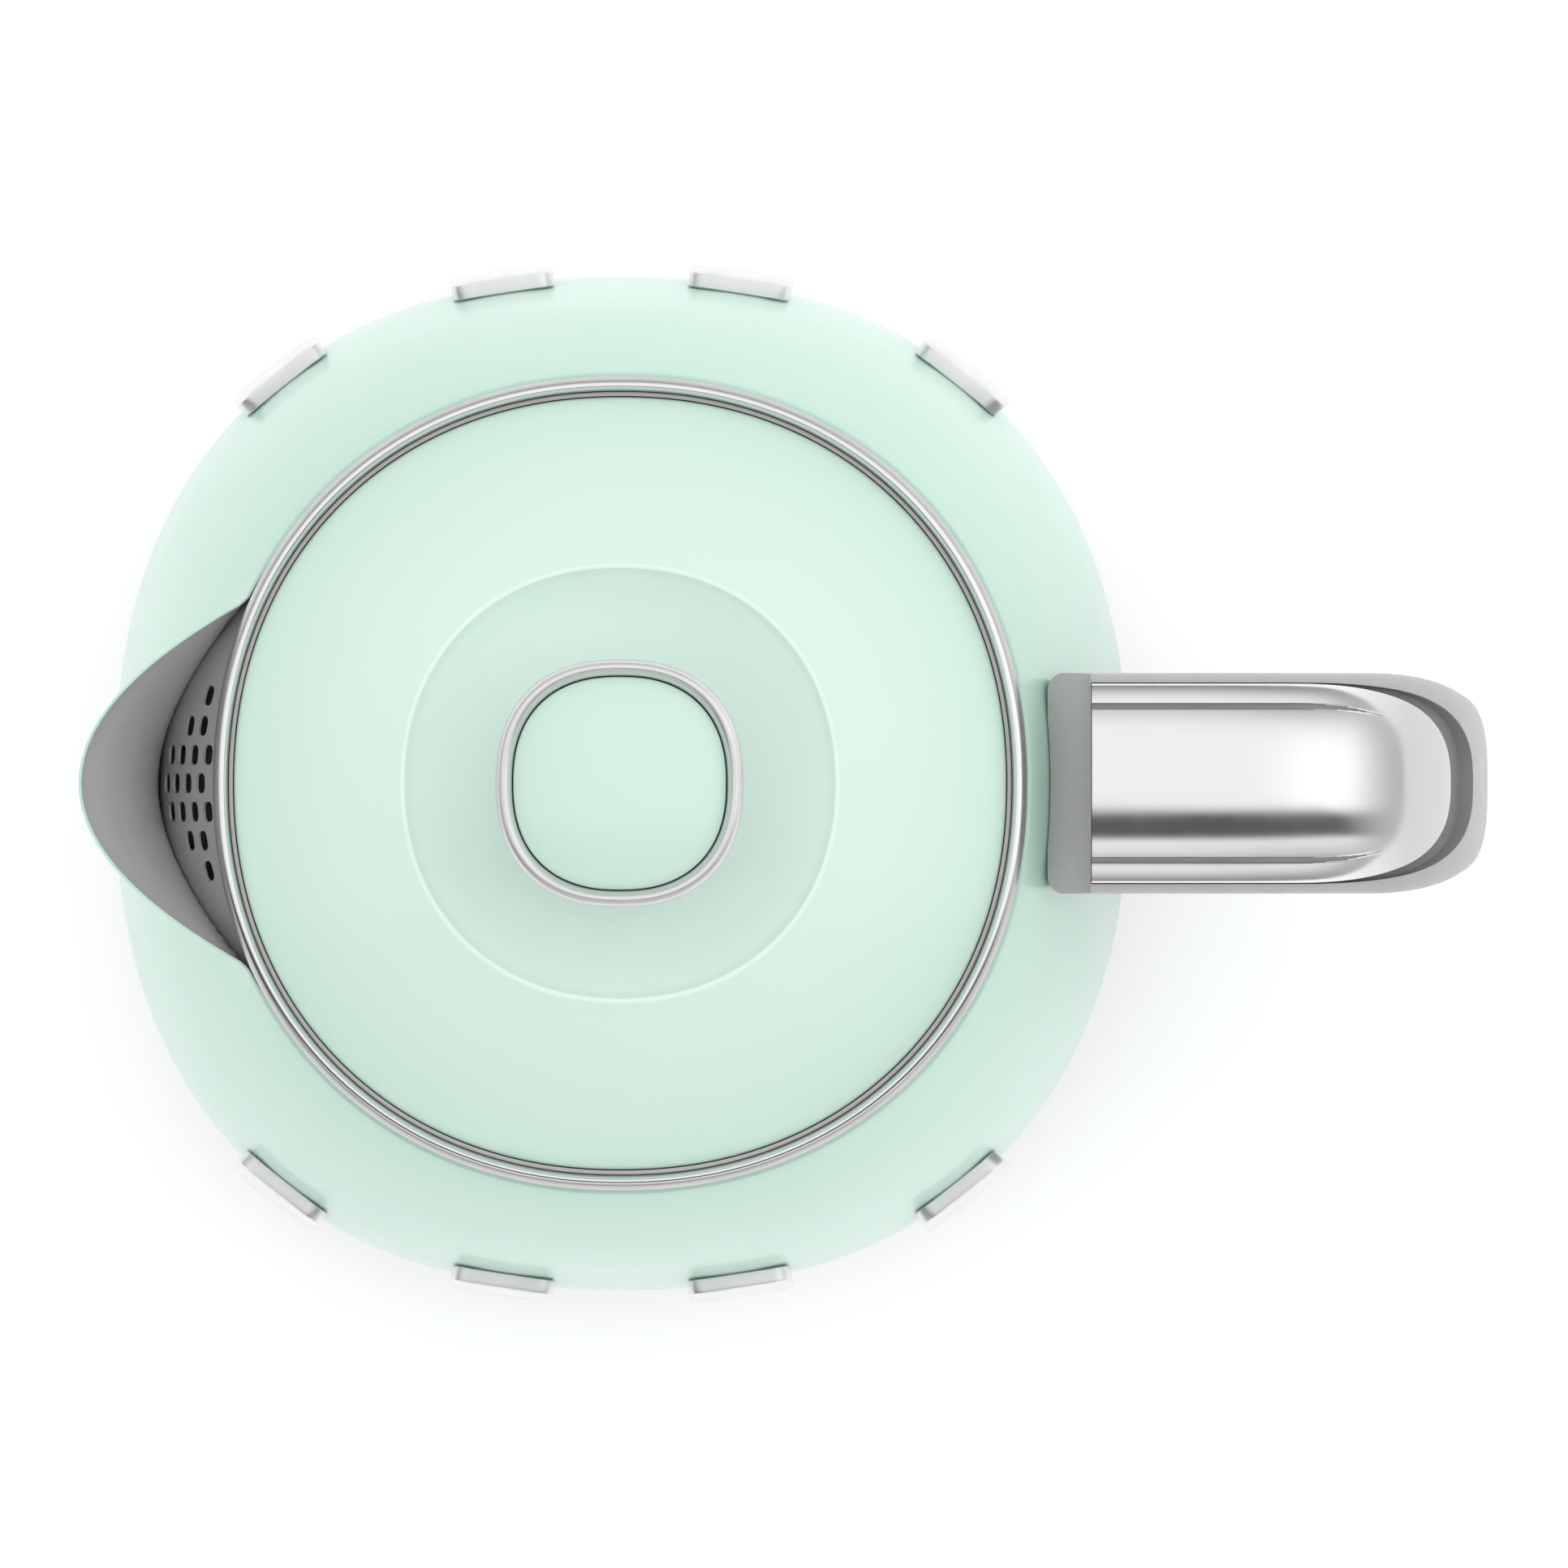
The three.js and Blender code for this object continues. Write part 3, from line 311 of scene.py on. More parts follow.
def cast_brass():
    made = Shader("contact_brass", Metallic=1.0)
    made.colour(made.noise(90, 4), (0.60, 0.42, 0.16), (0.74, 0.55, 0.24))
    made.roughness(made.noise(200, 3), 0.22, 0.38)
    made.bump(made.noise(700, 3), 0.00001, 0.3)
    return made.material


def clear_plastic(name, tint, rough=(0.03, 0.09)):
    made = Shader(name, Transmission_Weight=0.9, IOR=1.49)
    made.colour(made.noise(20, 2), tint, tuple(0.94 * part for part in tint))
    made.roughness(made.noise(120, 3), *rough)
    made.bump(made.noise(260, 2), 0.00002, 0.15)
    return made.material


def white_floor():
    made = Shader("studio_floor", IOR=1.3, Emission_Color=(1, 1, 1, 1), Emission_Strength=0.25)
    made.colour(made.noise(6, 2), (0.97, 0.97, 0.97), (0.99, 0.99, 0.99))
    made.roughness(made.noise(40, 2), 0.75, 0.85)
    return made.material


MINT = enamel("mint_enamel", (0.562, 0.800, 0.684), (0.574, 0.810, 0.696))
# the knob top's mint is a lighter copy of the body's paint: painted light
KNOB_MINT_PAINTED_LIGHT = enamel("mint_enamel_knob_painted_light", (0.638, 0.846, 0.732), (0.650, 0.854, 0.744))
# the lid's mint is a lighter copy of the body's paint and lightens further towards the crease: painted light
LID_MINT_PAINTED_LIGHT = enamel("mint_enamel_lid_painted_light", (0.648, 0.862, 0.748), (0.735, 0.905, 0.802), (LID_HALF, LID_CREASE))
# the dish's mint is a lighter copy of the body's paint and lightens towards the knob: painted light against
# the knob's shade
DISH_MINT_PAINTED_LIGHT = enamel("mint_enamel_dish_painted_light", (0.652, 0.848, 0.738), (0.790, 0.985, 0.890), (LID_CREASE, KNOB_HALF))
# paler mint along the lid's crease: a painted highlight
CREASE_HIGHLIGHT_PAINT = crease_highlight_enamel()
CHROME = polished_chrome("polished_chrome", 0.75, 0.80)
# the cap's chrome darkens towards the nose: painted shade
CAP_CHROME_SHADED_NOSE = polished_chrome("polished_chrome_cap_painted_shade", 0.775, 0.56, (CAP_NOSE - 14, CAP_NOSE - 6))
# near-black chrome for the groove along the handle cap: painted shade
GROOVE_SHADE_CHROME = satin_chrome("chrome_painted_groove_shade", 0.20, 0.25)
# darker chrome for the sloping sides of the rim's bead and its sleeve: painted shade
RIM_SIDE_SHADE_CHROME = satin_chrome("chrome_painted_side_shade", 0.50, 0.57)
SATIN_CHROME = satin_chrome("satin_chrome", 0.74, 0.80)
GREY = satin_grey()
DARK = moulded("dark_moulding", (0.085, 0.088, 0.092), (0.11, 0.113, 0.118))
BLACK = moulded("black_moulding", (0.018, 0.018, 0.020), (0.028, 0.028, 0.031), (0.4, 0.52))
SPOUT_STEEL = brushed_steel("spout_steel", (1, 1, 8), grey(0.55), grey(0.60), (0.45, 0.55), 0.25)
FILTER_STEEL = brushed_steel("filter_steel", (1, 8, 1), grey(0.38), grey(0.44), (0.4, 0.5), 0.3)
STEEL = brushed_steel("brushed_steel", (14, 1, 1), grey(0.40), (0.52, 0.52, 0.515), (0.26, 0.38))
BRASS = cast_brass()
SILICONE = soft_rubber("pale_silicone", (0.60, 0.63, 0.62), (0.70, 0.72, 0.71))
LID_SEAL_GREY = soft_rubber("lid_seal_grey", (0.44, 0.435, 0.43), (0.50, 0.495, 0.49))
POCKET_GREY = moulded("pocket_grey", grey(0.22), grey(0.26))
RUBBER = soft_rubber("black_rubber", (0.02, 0.02, 0.02), (0.035, 0.035, 0.034))
PRINT = moulded("white_print", (0.80, 0.80, 0.79), (0.86, 0.86, 0.85), (0.4, 0.5))
WINDOW = clear_plastic("clear_plastic", (0.86, 0.93, 0.92))
AMBER = clear_plastic("amber_lens", (0.95, 0.55, 0.12), (0.08, 0.16))


# ---- outlines ----

def square_factor(angle, n):
    """Radius, at an angle, of a superellipse of half-width 1."""
    return (abs(math.cos(angle)) ** n + abs(math.sin(angle)) ** n) ** (-1 / n)


def spaced(count, start=0.0, end=1.0):
    """count + 1 evenly spaced numbers."""
    return [start + (end - start) * i / count for i in range(count + 1)]


def smooth(value, start, end):
    t = min(max((value - start) / (end - start), 0), 1)
    return t * t * (3 - 2 * t)


def circle(radius, count, x=0.0, y=0.0):
    return [(x + radius * math.cos(a), y + radius * math.sin(a)) for a in spaced(count, 0, math.tau)[:-1]]


def box_corners(left, right, bottom, top, radius):
    return [(left, bottom, radius), (right, bottom, radius), (right, top, radius), (left, top, radius)]


def rounded(corners, closed=False, steps=5):
    """A path through corners of (x, y, radius), with an arc in place of each corner that has a radius."""
    points = []
    count = len(corners)
    for i, (x, y, radius) in enumerate(corners):
        here = Vector((x, y))
        if radius == 0 or (not closed and i in (0, count - 1)):
            points.append((x, y))
            continue
        before = Vector(corners[i - 1][:2]) - here
        after = Vector(corners[(i + 1) % count][:2]) - here
        turn = before.angle(after)
        reach = radius / math.tan(turn / 2)
        longest = 0.48 * min(before.length, after.length)
        if reach > longest:
            radius *= longest / reach
            reach = longest
        start = here + before.normalized() * reach
        end = here + after.normalized() * reach
        middle = here + (before.normalized() + after.normalized()).normalized() * radius / math.sin(turn / 2)
        first = start - middle
        second = end - middle
        sweep = first.angle_signed(second)
        for t in spaced(steps):
            spot = middle + Matrix.Rotation(-sweep * t, 2) @ first
            points.append((spot.x, spot.y))
    return points


# ---- meshes ----

def make(name, points, faces, material, sharp=38):
    """An object from points in millimetres, smooth except at edges sharper than an angle."""
    mesh = bpy.data.meshes.new(name)
    mesh.from_pydata([Vector(p) * MM for p in points], [], faces)
    for entry in material if isinstance(material, (list, tuple)) else [material]:
        mesh.materials.append(entry)
    mesh.validate()
    obj = bpy.data.objects.new(name, mesh)
    bpy.context.scene.collection.objects.link(obj)
    shade(obj, sharp)
    return obj


def shade(obj, sharp=38):
    for face in obj.data.polygons:
        face.use_smooth = True
    obj.data.set_sharp_from_angle(angle=math.radians(sharp))


def grid_faces(rows, columns, wrap_rows=False, wrap_columns=True):
    """Quads over a grid whose point number is row * columns + column."""
    faces = []
    for row in range(rows if wrap_rows else rows - 1):
        below = row * columns
        above = (row + 1) % rows * columns
        for column in range(columns if wrap_columns else columns - 1):
            after = (column + 1) % columns
            faces.append((below + column, below + after, above + after, above + column))
    return faces


def tube_faces(rows, columns):
    """Quads round a tube of rows, with a face to close each end."""
    faces = grid_faces(rows, columns)
    faces.append(tuple(reversed(range(columns))))
    faces.append(tuple(range((rows - 1) * columns, rows * columns)))
    return faces


def turned(name, profile, material, squareness=ROUND, sides=128, closed=False, centre=(0, 0)):
    """A profile of (radius, z) turned about Z. An open profile starts and ends on the axis."""
    exponent = squareness if callable(squareness) else lambda radius, z: squareness
    points = []
    for radius, z in profile:
        for i in range(sides):
            angle = math.tau * i / sides
            reach = radius * square_factor(angle, exponent(radius, z))
            points.append((centre[0] + reach * math.cos(angle), centre[1] + reach * math.sin(angle), z))
    obj = make(name, points, grid_faces(len(profile), sides, wrap_rows=closed), material)
    if not closed:
        weld(obj)
    face_out(obj)
    return obj


def paint_rings(obj, profile, sides, choose):
    """Gives each ring of a closed turned piece the material that choose names for its two profile points."""
    for i, face in enumerate(obj.data.polygons):
        row = i // sides
        face.material_index = choose(profile[row], profile[(row + 1) % len(profile)])


def weld(obj):
    """Joins points that lie on each other, as at the poles of a turned shape."""
    made = bmesh.new()
    made.from_mesh(obj.data)
    bmesh.ops.remove_doubles(made, verts=made.verts, dist=0.000002)
    bmesh.ops.dissolve_degenerate(made, edges=made.edges, dist=0.000001)
    made.to_mesh(obj.data)
    made.free()


def face_out(obj):
    made = bmesh.new()
    made.from_mesh(obj.data)
    bmesh.ops.recalc_face_normals(made, faces=made.faces)
    made.to_mesh(obj.data)
    made.free()
    shade(obj)


def extruded(name, outline, start, end, material, place=None):
    """A prism on an (x, y) outline from z = start to z = end, put in place by a matrix in millimetres."""
    place = place or Matrix.Identity(4)
    points = [place @ Vector((x, y, z)) for z in (start, end) for x, y in outline]
    obj = make(name, points, tube_faces(2, len(outline)), material)
    face_out(obj)
    return obj


SIDEWAYS = Matrix.Rotation(math.pi / 2, 4, "X")  # stands an (x, z) outline up, spread along Y


def bevelled(obj, width, segments=3, angle=40):
    """Rounds the edges that are sharper than an angle."""
    modifier = obj.modifiers.new("edge_round", "BEVEL")
    modifier.width = width * MM
    modifier.segments = segments
    modifier.limit_method = "ANGLE"
    modifier.angle_limit = math.radians(angle)
    modifier.harden_normals = False
    settle(obj)
    return obj


def settle(obj):
    """Applies the modifiers that an object carries."""
    graph = bpy.context.evaluated_depsgraph_get()
    mesh = bpy.data.meshes.new_from_object(obj.evaluated_get(graph))
    obj.modifiers.clear()
    obj.data = mesh
    shade(obj)


def carve(obj, *cutters, operation="DIFFERENCE"):
    """Cuts other solids out of an object, or joins them to it, and throws the cutters away."""
    for cutter in cutters:
        modifier = obj.modifiers.new("cut", "BOOLEAN")
        modifier.operation = operation
        modifier.solver = "EXACT"
        modifier.material_mode = "TRANSFER"
        modifier.object = cutter
    settle(obj)
    for cutter in cutters:
        bpy.data.objects.remove(cutter)
    return obj


def place(obj, body, *nodes, finish=None):
    """Puts a finished piece on its body, in place of CAD nodes."""
    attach(obj, body)
    if nodes:
        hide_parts(*nodes)
    return obj


# ---- body ----

def body_half(z):
    above = z > BODY_WIDEST
    away = (z - BODY_WIDEST) / BODY_RISE if above else (BODY_WIDEST - z) / BODY_DROP
    return BODY_HALF * (1 - away**BODY_CURVE) ** (1 / BODY_CURVE)


def body_square(radius, z):
    t = smooth(z, 100, BODY_SHOULDER)
    return BODY_SQUARE + (RIM_SQUARE - BODY_SQUARE) * t


def spout_plan(angle, tip):
    """Distance from the axis to a parabola with its nose at tip."""
    c = math.cos(angle)
    s = math.sin(angle)
    return -2 * tip / (-c + math.sqrt(c * c - 4 * s * s * tip / SPOUT_WIDENING))


def body_top(angle):
    """Height of the body's top edge: level round the rim, rising along the spout's lip."""
    if math.cos(angle) > -0.2:
        return BODY_SHOULDER
    x = spout_plan(angle, SPOUT_TIP) * math.cos(angle)
    return BODY_SHOULDER + max(0, LIP_START - x) * (SPOUT_TIP_Z - BODY_SHOULDER) / (LIP_START - SPOUT_TIP)


def spout_reach(angle, z):
    """Distance from the axis to the spout's outside, or 0 where there is no spout. Below the lip the
    spout draws in towards the body."""
    if z < SPOUT_FOOT or math.cos(angle) > -0.2:
        return 0
    t = (z - SPOUT_FOOT) / (body_top(angle) - SPOUT_FOOT)
    return spout_plan(angle, SPOUT_TIP + SPOUT_UNDERCUT * (1 - min(t, 1) ** 1.6))


def body_reach(angle, z):
    """Distance from the axis to the body's outside, with the spout blended in."""
    own = body_half(min(z, BODY_SHOULDER)) * square_factor(angle, body_square(0, min(z, BODY_SHOULDER)))
    spout = spout_reach(angle, z)
    blend = 7 - 6.4 * smooth(z, 140, BODY_SHOULDER)
    overlap = max(blend - abs(own - spout), 0)
    return max(own, spout) + overlap * overlap / (4 * blend)


def wall_at(t, angle):
    """The shell's thickness, which runs out thin towards the spout's lip."""
    spout = smooth(-math.cos(angle), 0.80, 0.92)
    return WALL - (WALL - LIP_WALL) * spout * smooth(t, 0.86, 1.0)


def body_section(t, share, sides):
    """Points round the body at a fraction t of its height, moved in by a share of the wall."""
    outer = []
    for i in range(sides):
        angle = math.tau * i / sides
        z = BODY_BOTTOM + t * (body_top(angle) - BODY_BOTTOM)
        reach = body_reach(angle, z)
        outer.append(Vector((reach * math.cos(angle), reach * math.sin(angle), z)))
    moved = []
    for i, point in enumerate(outer):
        along = outer[(i + 1) % sides] - outer[i - 1]
        inward = Vector((-along.y, along.x, 0)).normalized()
        moved.append(point + inward * share * wall_at(t, math.tau * i / sides))
    return moved


def body_shell():
    sides = 256
    levels = spaced(64)
    rows = [body_section(t, 0, sides) for t in levels]
    for turn in spaced(4, 0.0, math.pi)[1:-1]:  # the lip's rounded edge
        edge = body_section(1, (1 - math.cos(turn)) / 2, sides)
        rows.append([p + Vector((0, 0, 0.3 * math.sin(turn))) for p in edge])
    outside = len(rows)
    rows.extend(body_section(t, 1, sides) for t in reversed(levels))
    points = [p for row in rows for p in row]
    obj = make("body_shell", points, grid_faces(len(rows), sides, wrap_rows=True), [MINT, SPOUT_STEEL])
    for i, face in enumerate(obj.data.polygons):
        face.material_index = 1 if i >= outside * sides else 0
    face_out(obj)
    slot = rounded(box_corners(-10.2, 10.2, 24.6, 35.4, 2), closed=True)
    corners = box_corners(-WINDOW_HALF, WINDOW_HALF, WINDOW_LOW, WINDOW_HIGH, WINDOW_HALF - 0.1)
    window = rounded(corners, closed=True, steps=8)
    start = 50
    to_back = Matrix(((0, 0, 1, start), (1, 0, 0, 0), (0, 1, 0, 0), (0, 0, 0, 1)))
    length = high("switch_lever", X) - start
    cuts = [extruded("cut", shape, 0, length, MINT, to_back) for shape in (slot, window)]
    return place(carve(obj, *cuts), "jug", "body_shell", finish="mint_enamel")


def shell_hollow():
    """The space inside the body and spout, a hair smaller than the shell's inner face."""
    sides = 160
    rows = [body_section(t, 1.06, sides) for t in spaced(40, 0.3, 1.0)]
    points = [p for row in rows for p in row]
    hollow = make("cut", points, tube_faces(len(rows), sides), FILTER_STEEL)
    face_out(hollow)
    return hollow


# ---- filter ----

def filter_radius(z):
    return 36.4 - 7.8 * (max(z - 143, 0) / 19.8) ** 1.5


def filter_spread(turn):
    """How far the plate stands out at an angle, so that its top edge follows the ring."""
    ring = RIM_OUTER - 0.4
    off = -FILTER_AXIS
    return off * math.cos(turn) + math.sqrt(ring**2 - (off * math.sin(turn)) ** 2) - (ring - off)


FILTER_LOW = 139
FILTER_TOP = 162.4
SLOT_COUNTS = [4, 4, 2, 1]  # slots in each row, outward from the middle row
SLOT_STARTS = [159.4, 161.0, 158.8, 158.6]
SLOT_PITCH = 4.0
SLOT_DROP = 3.7
SLOT_HALF_LONG = 1.4
SLOT_HALF_TALL = 1.25
FILTER_SHEET = 0.35


def filter_slot(y, z):
    """A slot with round ends, square to the plate at that place."""
    radius = filter_radius(z)
    angle = math.pi - math.asin(y / radius)
    slope = math.atan2(filter_radius(z - 0.5) - filter_radius(z + 0.5), 1)
    out = Vector((math.cos(angle) * math.cos(slope), math.sin(angle) * math.cos(slope), math.sin(slope)))
    along = Vector((-math.sin(angle), math.cos(angle), 0))
    up = out.cross(along)
    spot = Vector((FILTER_AXIS + radius * math.cos(angle), radius * math.sin(angle), z))
    matrix = Matrix.Translation(spot) @ Matrix((along, up, out)).transposed().to_4x4()
    corners = box_corners(-SLOT_HALF_LONG, SLOT_HALF_LONG, -SLOT_HALF_TALL, SLOT_HALF_TALL, 0.9)
    return extruded("slot", rounded(corners, closed=True), -3, 3, FILTER_STEEL, matrix)


def limescale_filter():
    heights = spaced(24, FILTER_LOW, FILTER_TOP)
    loop = [(filter_radius(z), z) for z in heights]
    loop += [(filter_radius(z) - FILTER_SHEET, z) for z in reversed(heights)]
    span = math.radians(50)
    columns = 60
    points = []
    for radius, z in loop:
        for turn in spaced(columns, math.pi - span, math.pi + span):
            reach = radius + filter_spread(turn)
            points.append((FILTER_AXIS + reach * math.cos(turn), reach * math.sin(turn), z))
    faces = grid_faces(len(loop), columns + 1, wrap_rows=True, wrap_columns=False)
    for column in (0, columns):
        faces.append(tuple(row * (columns + 1) + column for row in range(len(loop))))
    plate = make("limescale_filter", points, faces, FILTER_STEEL)
    face_out(plate)
    cutters = []
    for row, count in enumerate(SLOT_COUNTS):
        for i in range(count):
            for side in (1, -1) if row else (1,):
                cutters.append(filter_slot(side * row * SLOT_PITCH, SLOT_STARTS[row] - SLOT_DROP * i))
    carve(plate, *cutters)
    carve(plate, shell_hollow(), operation="INTERSECT")
    return place(plate, "jug", "limescale_filter", finish="steel")


# ---- rim, lid and knob ----

def rim_ring():
    bore = LID_HALF + 0.85
    crest = bore + 0.75
    bead = []
    for a in spaced(20, 0.0, math.pi):
        reach = RIM_OUTER + 0.15 - crest if a < math.pi / 2 else crest - bore
        bead.append((crest + reach * math.cos(a), RIM_TOP - 2.2 + 2.2 * math.sin(a)))
    profile = [
        (bore + 0.6, SLEEVE_BOTTOM),
        (bore + 0.6, BODY_SHOULDER + GAP),
        (RIM_OUTER + 0.15, BODY_SHOULDER + GAP),
        *bead,
        (bore, SLEEVE_BOTTOM + 1.2),
        (51, SLEEVE_BOTTOM + 1.2),
        (51, SLEEVE_BOTTOM),
    ]
    sides = 256
    ring = turned("rim_ring", profile, [CHROME, RIM_SIDE_SHADE_CHROME], RIM_SQUARE, sides=sides, closed=True)

    # faces away from the crest take the darker chrome: painted shade on the bead's sides
    def edge_or_crest(before, after):
        radius = (before[0] + after[0]) / 2
        return 0 if crest - 0.6 < radius < crest + 0.7 else 1

    paint_rings(ring, profile, sides, edge_or_crest)
    return place(ring, "jug", "rim_ring", finish="chrome")


def lid_dome(radius):
    peak = 176
    edge = 165.4
    return peak - (peak - edge) * (radius / LID_HALF) ** 2.2


def lid_square(radius, z):
    t = smooth(radius, KNOB_HALF, LID_CREASE)
    return KNOB_SQUARE + (RIM_SQUARE - KNOB_SQUARE) * t


def lid_cover():
    dome = [(r, lid_dome(r), 0) for r in spaced(24, LID_HALF - 1.6, LID_CREASE + 0.5)]
    crease_drop = lid_dome(LID_CREASE) - 0.02 - DISH_FLOOR
    dish = []
    for radius in spaced(16, LID_CREASE - 0.8, 17):
        dish.append((radius, DISH_FLOOR + crease_drop * smooth(radius, 14, LID_CREASE + 2.4), 0))
    corners = [
        (LID_HALF - 1.2, LID_SKIRT, 0),
        (LID_HALF, LID_SKIRT, 0.4),
        (LID_HALF, lid_dome(LID_HALF) - 0.1, 0.8),
        *dome,
        (LID_CREASE + 0.2, lid_dome(LID_CREASE + 0.2), 0),
        (LID_CREASE - 0.4, lid_dome(LID_CREASE) - 0.02, 0),
        *dish,
        (3, DISH_FLOOR, 0),
        (3, DISH_FLOOR - 1.2, 0),
        (24, DISH_FLOOR - 1.0, 0),
        (LID_CREASE, lid_dome(LID_CREASE) - 1.6, 0.5),
        (42, lid_dome(42) - 1.3, 0),
        (LID_HALF - 1.2, lid_dome(LID_HALF) - 1.5, 0.5),
    ]
    sides = 256
    profile = rounded(corners, closed=True)
    cover = turned("lid_cover", profile, [LID_MINT_PAINTED_LIGHT, CREASE_HIGHLIGHT_PAINT, DISH_MINT_PAINTED_LIGHT], lid_square, sides=sides, closed=True)

    # the ring of faces along the crease takes the paler enamel, a painted highlight
    def dome_crease_or_dish(before, after):
        radius = (before[0] + after[0]) / 2
        if abs(radius - LID_CREASE + 0.12) < 0.35 and min(before[1], after[1]) > DISH_FLOOR:
            return 1
        return 2 if radius < LID_CREASE else 0

    paint_rings(cover, profile, sides, dome_crease_or_dish)
    return place(cover, "lid", "lid_cover", finish="mint_enamel")


def lid_underside():
    bottom = low("lid_pan", Z)
    top = high("lid_pan", Z)
    flange = high("lid_pan", Y)
    pan = [
        (2.6, top, 0),
        (2.6, top - 1.2, 0.3),
        (20, top - 1.2, 4),
        (24, top - 0.8, 4),
        (46.8, top - 1.4, 1.2),
        (49.4, bottom, 0.8),
        (flange, bottom, 0.4),
        (flange, bottom + 0.9, 0.4),
        (50, bottom + 0.9, 0.8),
        (48.4, top, 0.8),
    ]
    round_piece("lid_pan", "lid", "steel", STEEL, pan, 160, RIM_SQUARE)
    lip = LID_HALF + 0.75
    lip_top = lid_dome(LID_HALF) - 0.1
    seal = [
        (50.6, bottom + 1.3, 0.2),
        (lip, bottom + 1.3, 0.4),
        (lip - 0.7, bottom + 2.5, 0.5),
        (lip, top - 0.1, 0.4),
        (lip, lip_top, 0.2),
        (lip - 0.6, lip_top, 0.2),
        (lip - 0.6, top - 0.1, 0),
        (49.6, top - 0.1, 0.2),
    ]
    round_piece("lid_seal", "lid", "silicone", LID_SEAL_GREY, seal, 256, RIM_SQUARE)


def half_round(first, last, top, height):
    """Corners of a rounded edge that runs over from one radius to another."""
    middle = (first + last) / 2
    half = (first - last) / 2
    foot = top - height
    return [(middle + half * math.cos(a), foot + height * math.sin(a), 0) for a in spaced(16, 0.0, math.pi)]


def knob():
    stem = 9.6
    cup = rounded(
        [
            (2.5, KNOB_LOW, 0),
            (stem + 2.4, KNOB_LOW, 0.4),
            (stem + 0.6, KNOB_LOW + 1.3, 1.5),
            (stem, KNOB_LOW + 4.4, 6),
            (stem + 1.2, KNOB_LOW + 8.4, 5),
            (KNOB_HALF - 2, KNOB_LOW + 11.7, 3),
            (KNOB_HALF + 0.2, KNOB_LOW + 14.6, 3),
            *half_round(KNOB_HALF + 0.3, INSERT_HALF + 0.15, KNOB_RIM, 1.9),
            (INSERT_HALF + 0.15, INSERT_LOW - GAP, 0.3),
            (2.5, INSERT_LOW - GAP, 0),
        ],
        closed=True,
        steps=8,
    )
    sides = 160
    cup_piece = turned("knob_cup", cup, [CHROME, SATIN_CHROME], KNOB_SQUARE, sides=sides, closed=True)
    paint_rings(cup_piece, cup, sides, lambda before, after: 1 if before[1] > KNOB_RIM - 2.5 else 0)
    place(cup_piece, "lid", "knob_cup", finish="chrome")
    dome = [(INSERT_HALF * t, KNOB_TOP - 2.6 * t**2.4) for t in spaced(16, 0.93, 0.0)]
    side = [(INSERT_HALF, INSERT_LOW, 0.3), (INSERT_HALF, KNOB_TOP - 3.0, 0.5)]
    edge = rounded([(0, INSERT_LOW, 0), *side, (*dome[0], 0)])
    insert = turned("knob_insert", edge + dome[1:], KNOB_MINT_PAINTED_LIGHT, KNOB_SQUARE, sides=160)
    place(insert, "lid", "knob_insert", finish="mint_enamel")


# ---- handle ----

class Handle:
    """The handle's centreline, three sides of a superellipse in the XZ plane, measured by length."""

    def __init__(self):
        self.fine = [self.point(t) for t in spaced(2000)]
        self.lengths = [0.0]
        for before, after in zip(self.fine, self.fine[1:]):
            self.lengths.append(self.lengths[-1] + (after - before).length)
        self.total = self.lengths[-1]

    def point(self, t):
        angle = math.pi * (0.5 - t)
        power = 2 / HANDLE_CURVE
        reach = HANDLE_END - HANDLE_THICK - HANDLE_ROOT
        x = HANDLE_ROOT + reach * abs(math.cos(angle)) ** power
        z = HANDLE_MIDDLE + math.copysign(HANDLE_RISE * abs(math.sin(angle)) ** power, math.sin(angle))
        return Vector((x, 0, z))

    def at(self, length):
        """Point and outward normal at a distance along the centreline."""
        length = min(max(length, 0.0), self.total)
        low_end, high_end = 0, len(self.lengths) - 1
        while high_end - low_end > 1:
            middle = (low_end + high_end) // 2
            if self.lengths[middle] <= length:
                low_end = middle
            else:
                high_end = middle
        step = self.lengths[high_end] - self.lengths[low_end]
        t = (length - self.lengths[low_end]) / step
        spot = self.fine[low_end].lerp(self.fine[high_end], t)
        ahead = self.fine[min(high_end + 12, len(self.fine) - 1)] - self.fine[max(low_end - 12, 0)]
        normal = Vector((-ahead.z, 0, ahead.x)).normalized()
        return spot, normal

    def spot(self, length, across, outward):
        """A point of the handle: along it, across it, and outward from the centreline."""
        centre, normal = self.at(length)
        return centre + normal * outward + Vector((0, across * self.narrowing(length), 0))

    def narrowing(self, length):
        """The handle keeps its full width at both ends and draws in a little round the outer bend."""
        from_end = min(length, self.total - length)
        return 1 - HANDLE_NARROWING * smooth(from_end, 0.27 * self.total, 0.43 * self.total)

    def length_at_x(self, x, outward):
        """The length at which a point that far outward reaches x, on the upper outer side."""
        low_end, high_end = 0.0, self.total / 2
        for _ in range(40):
            middle = (low_end + high_end) / 2
            if self.spot(middle, 0, outward).x < x:
                low_end = middle
            else:
                high_end = middle
        return low_end


HANDLE = Handle()


def crown(across):
    """Height of the handle's outer surface above its centreline."""
    share = min(abs(across) / HANDLE_HALF, 1)
    return HANDLE_THICK * (1 - share**HANDLE_SECTION) ** (1 / HANDLE_SECTION)


def half_section(split, side):
    """The part of the handle's section on one side of a straight split, with the split line closed."""
    start = math.asin(split / HANDLE_THICK)
    first = start if side > 0 else math.pi - start
    sweep = math.pi - 2 * start * side
    points = []
    for angle in spaced(40, first, first + sweep):
        factor = square_factor(angle, HANDLE_SECTION)
        points.append((HANDLE_HALF * factor * math.cos(angle), HANDLE_THICK * factor * math.sin(angle)))
    return points


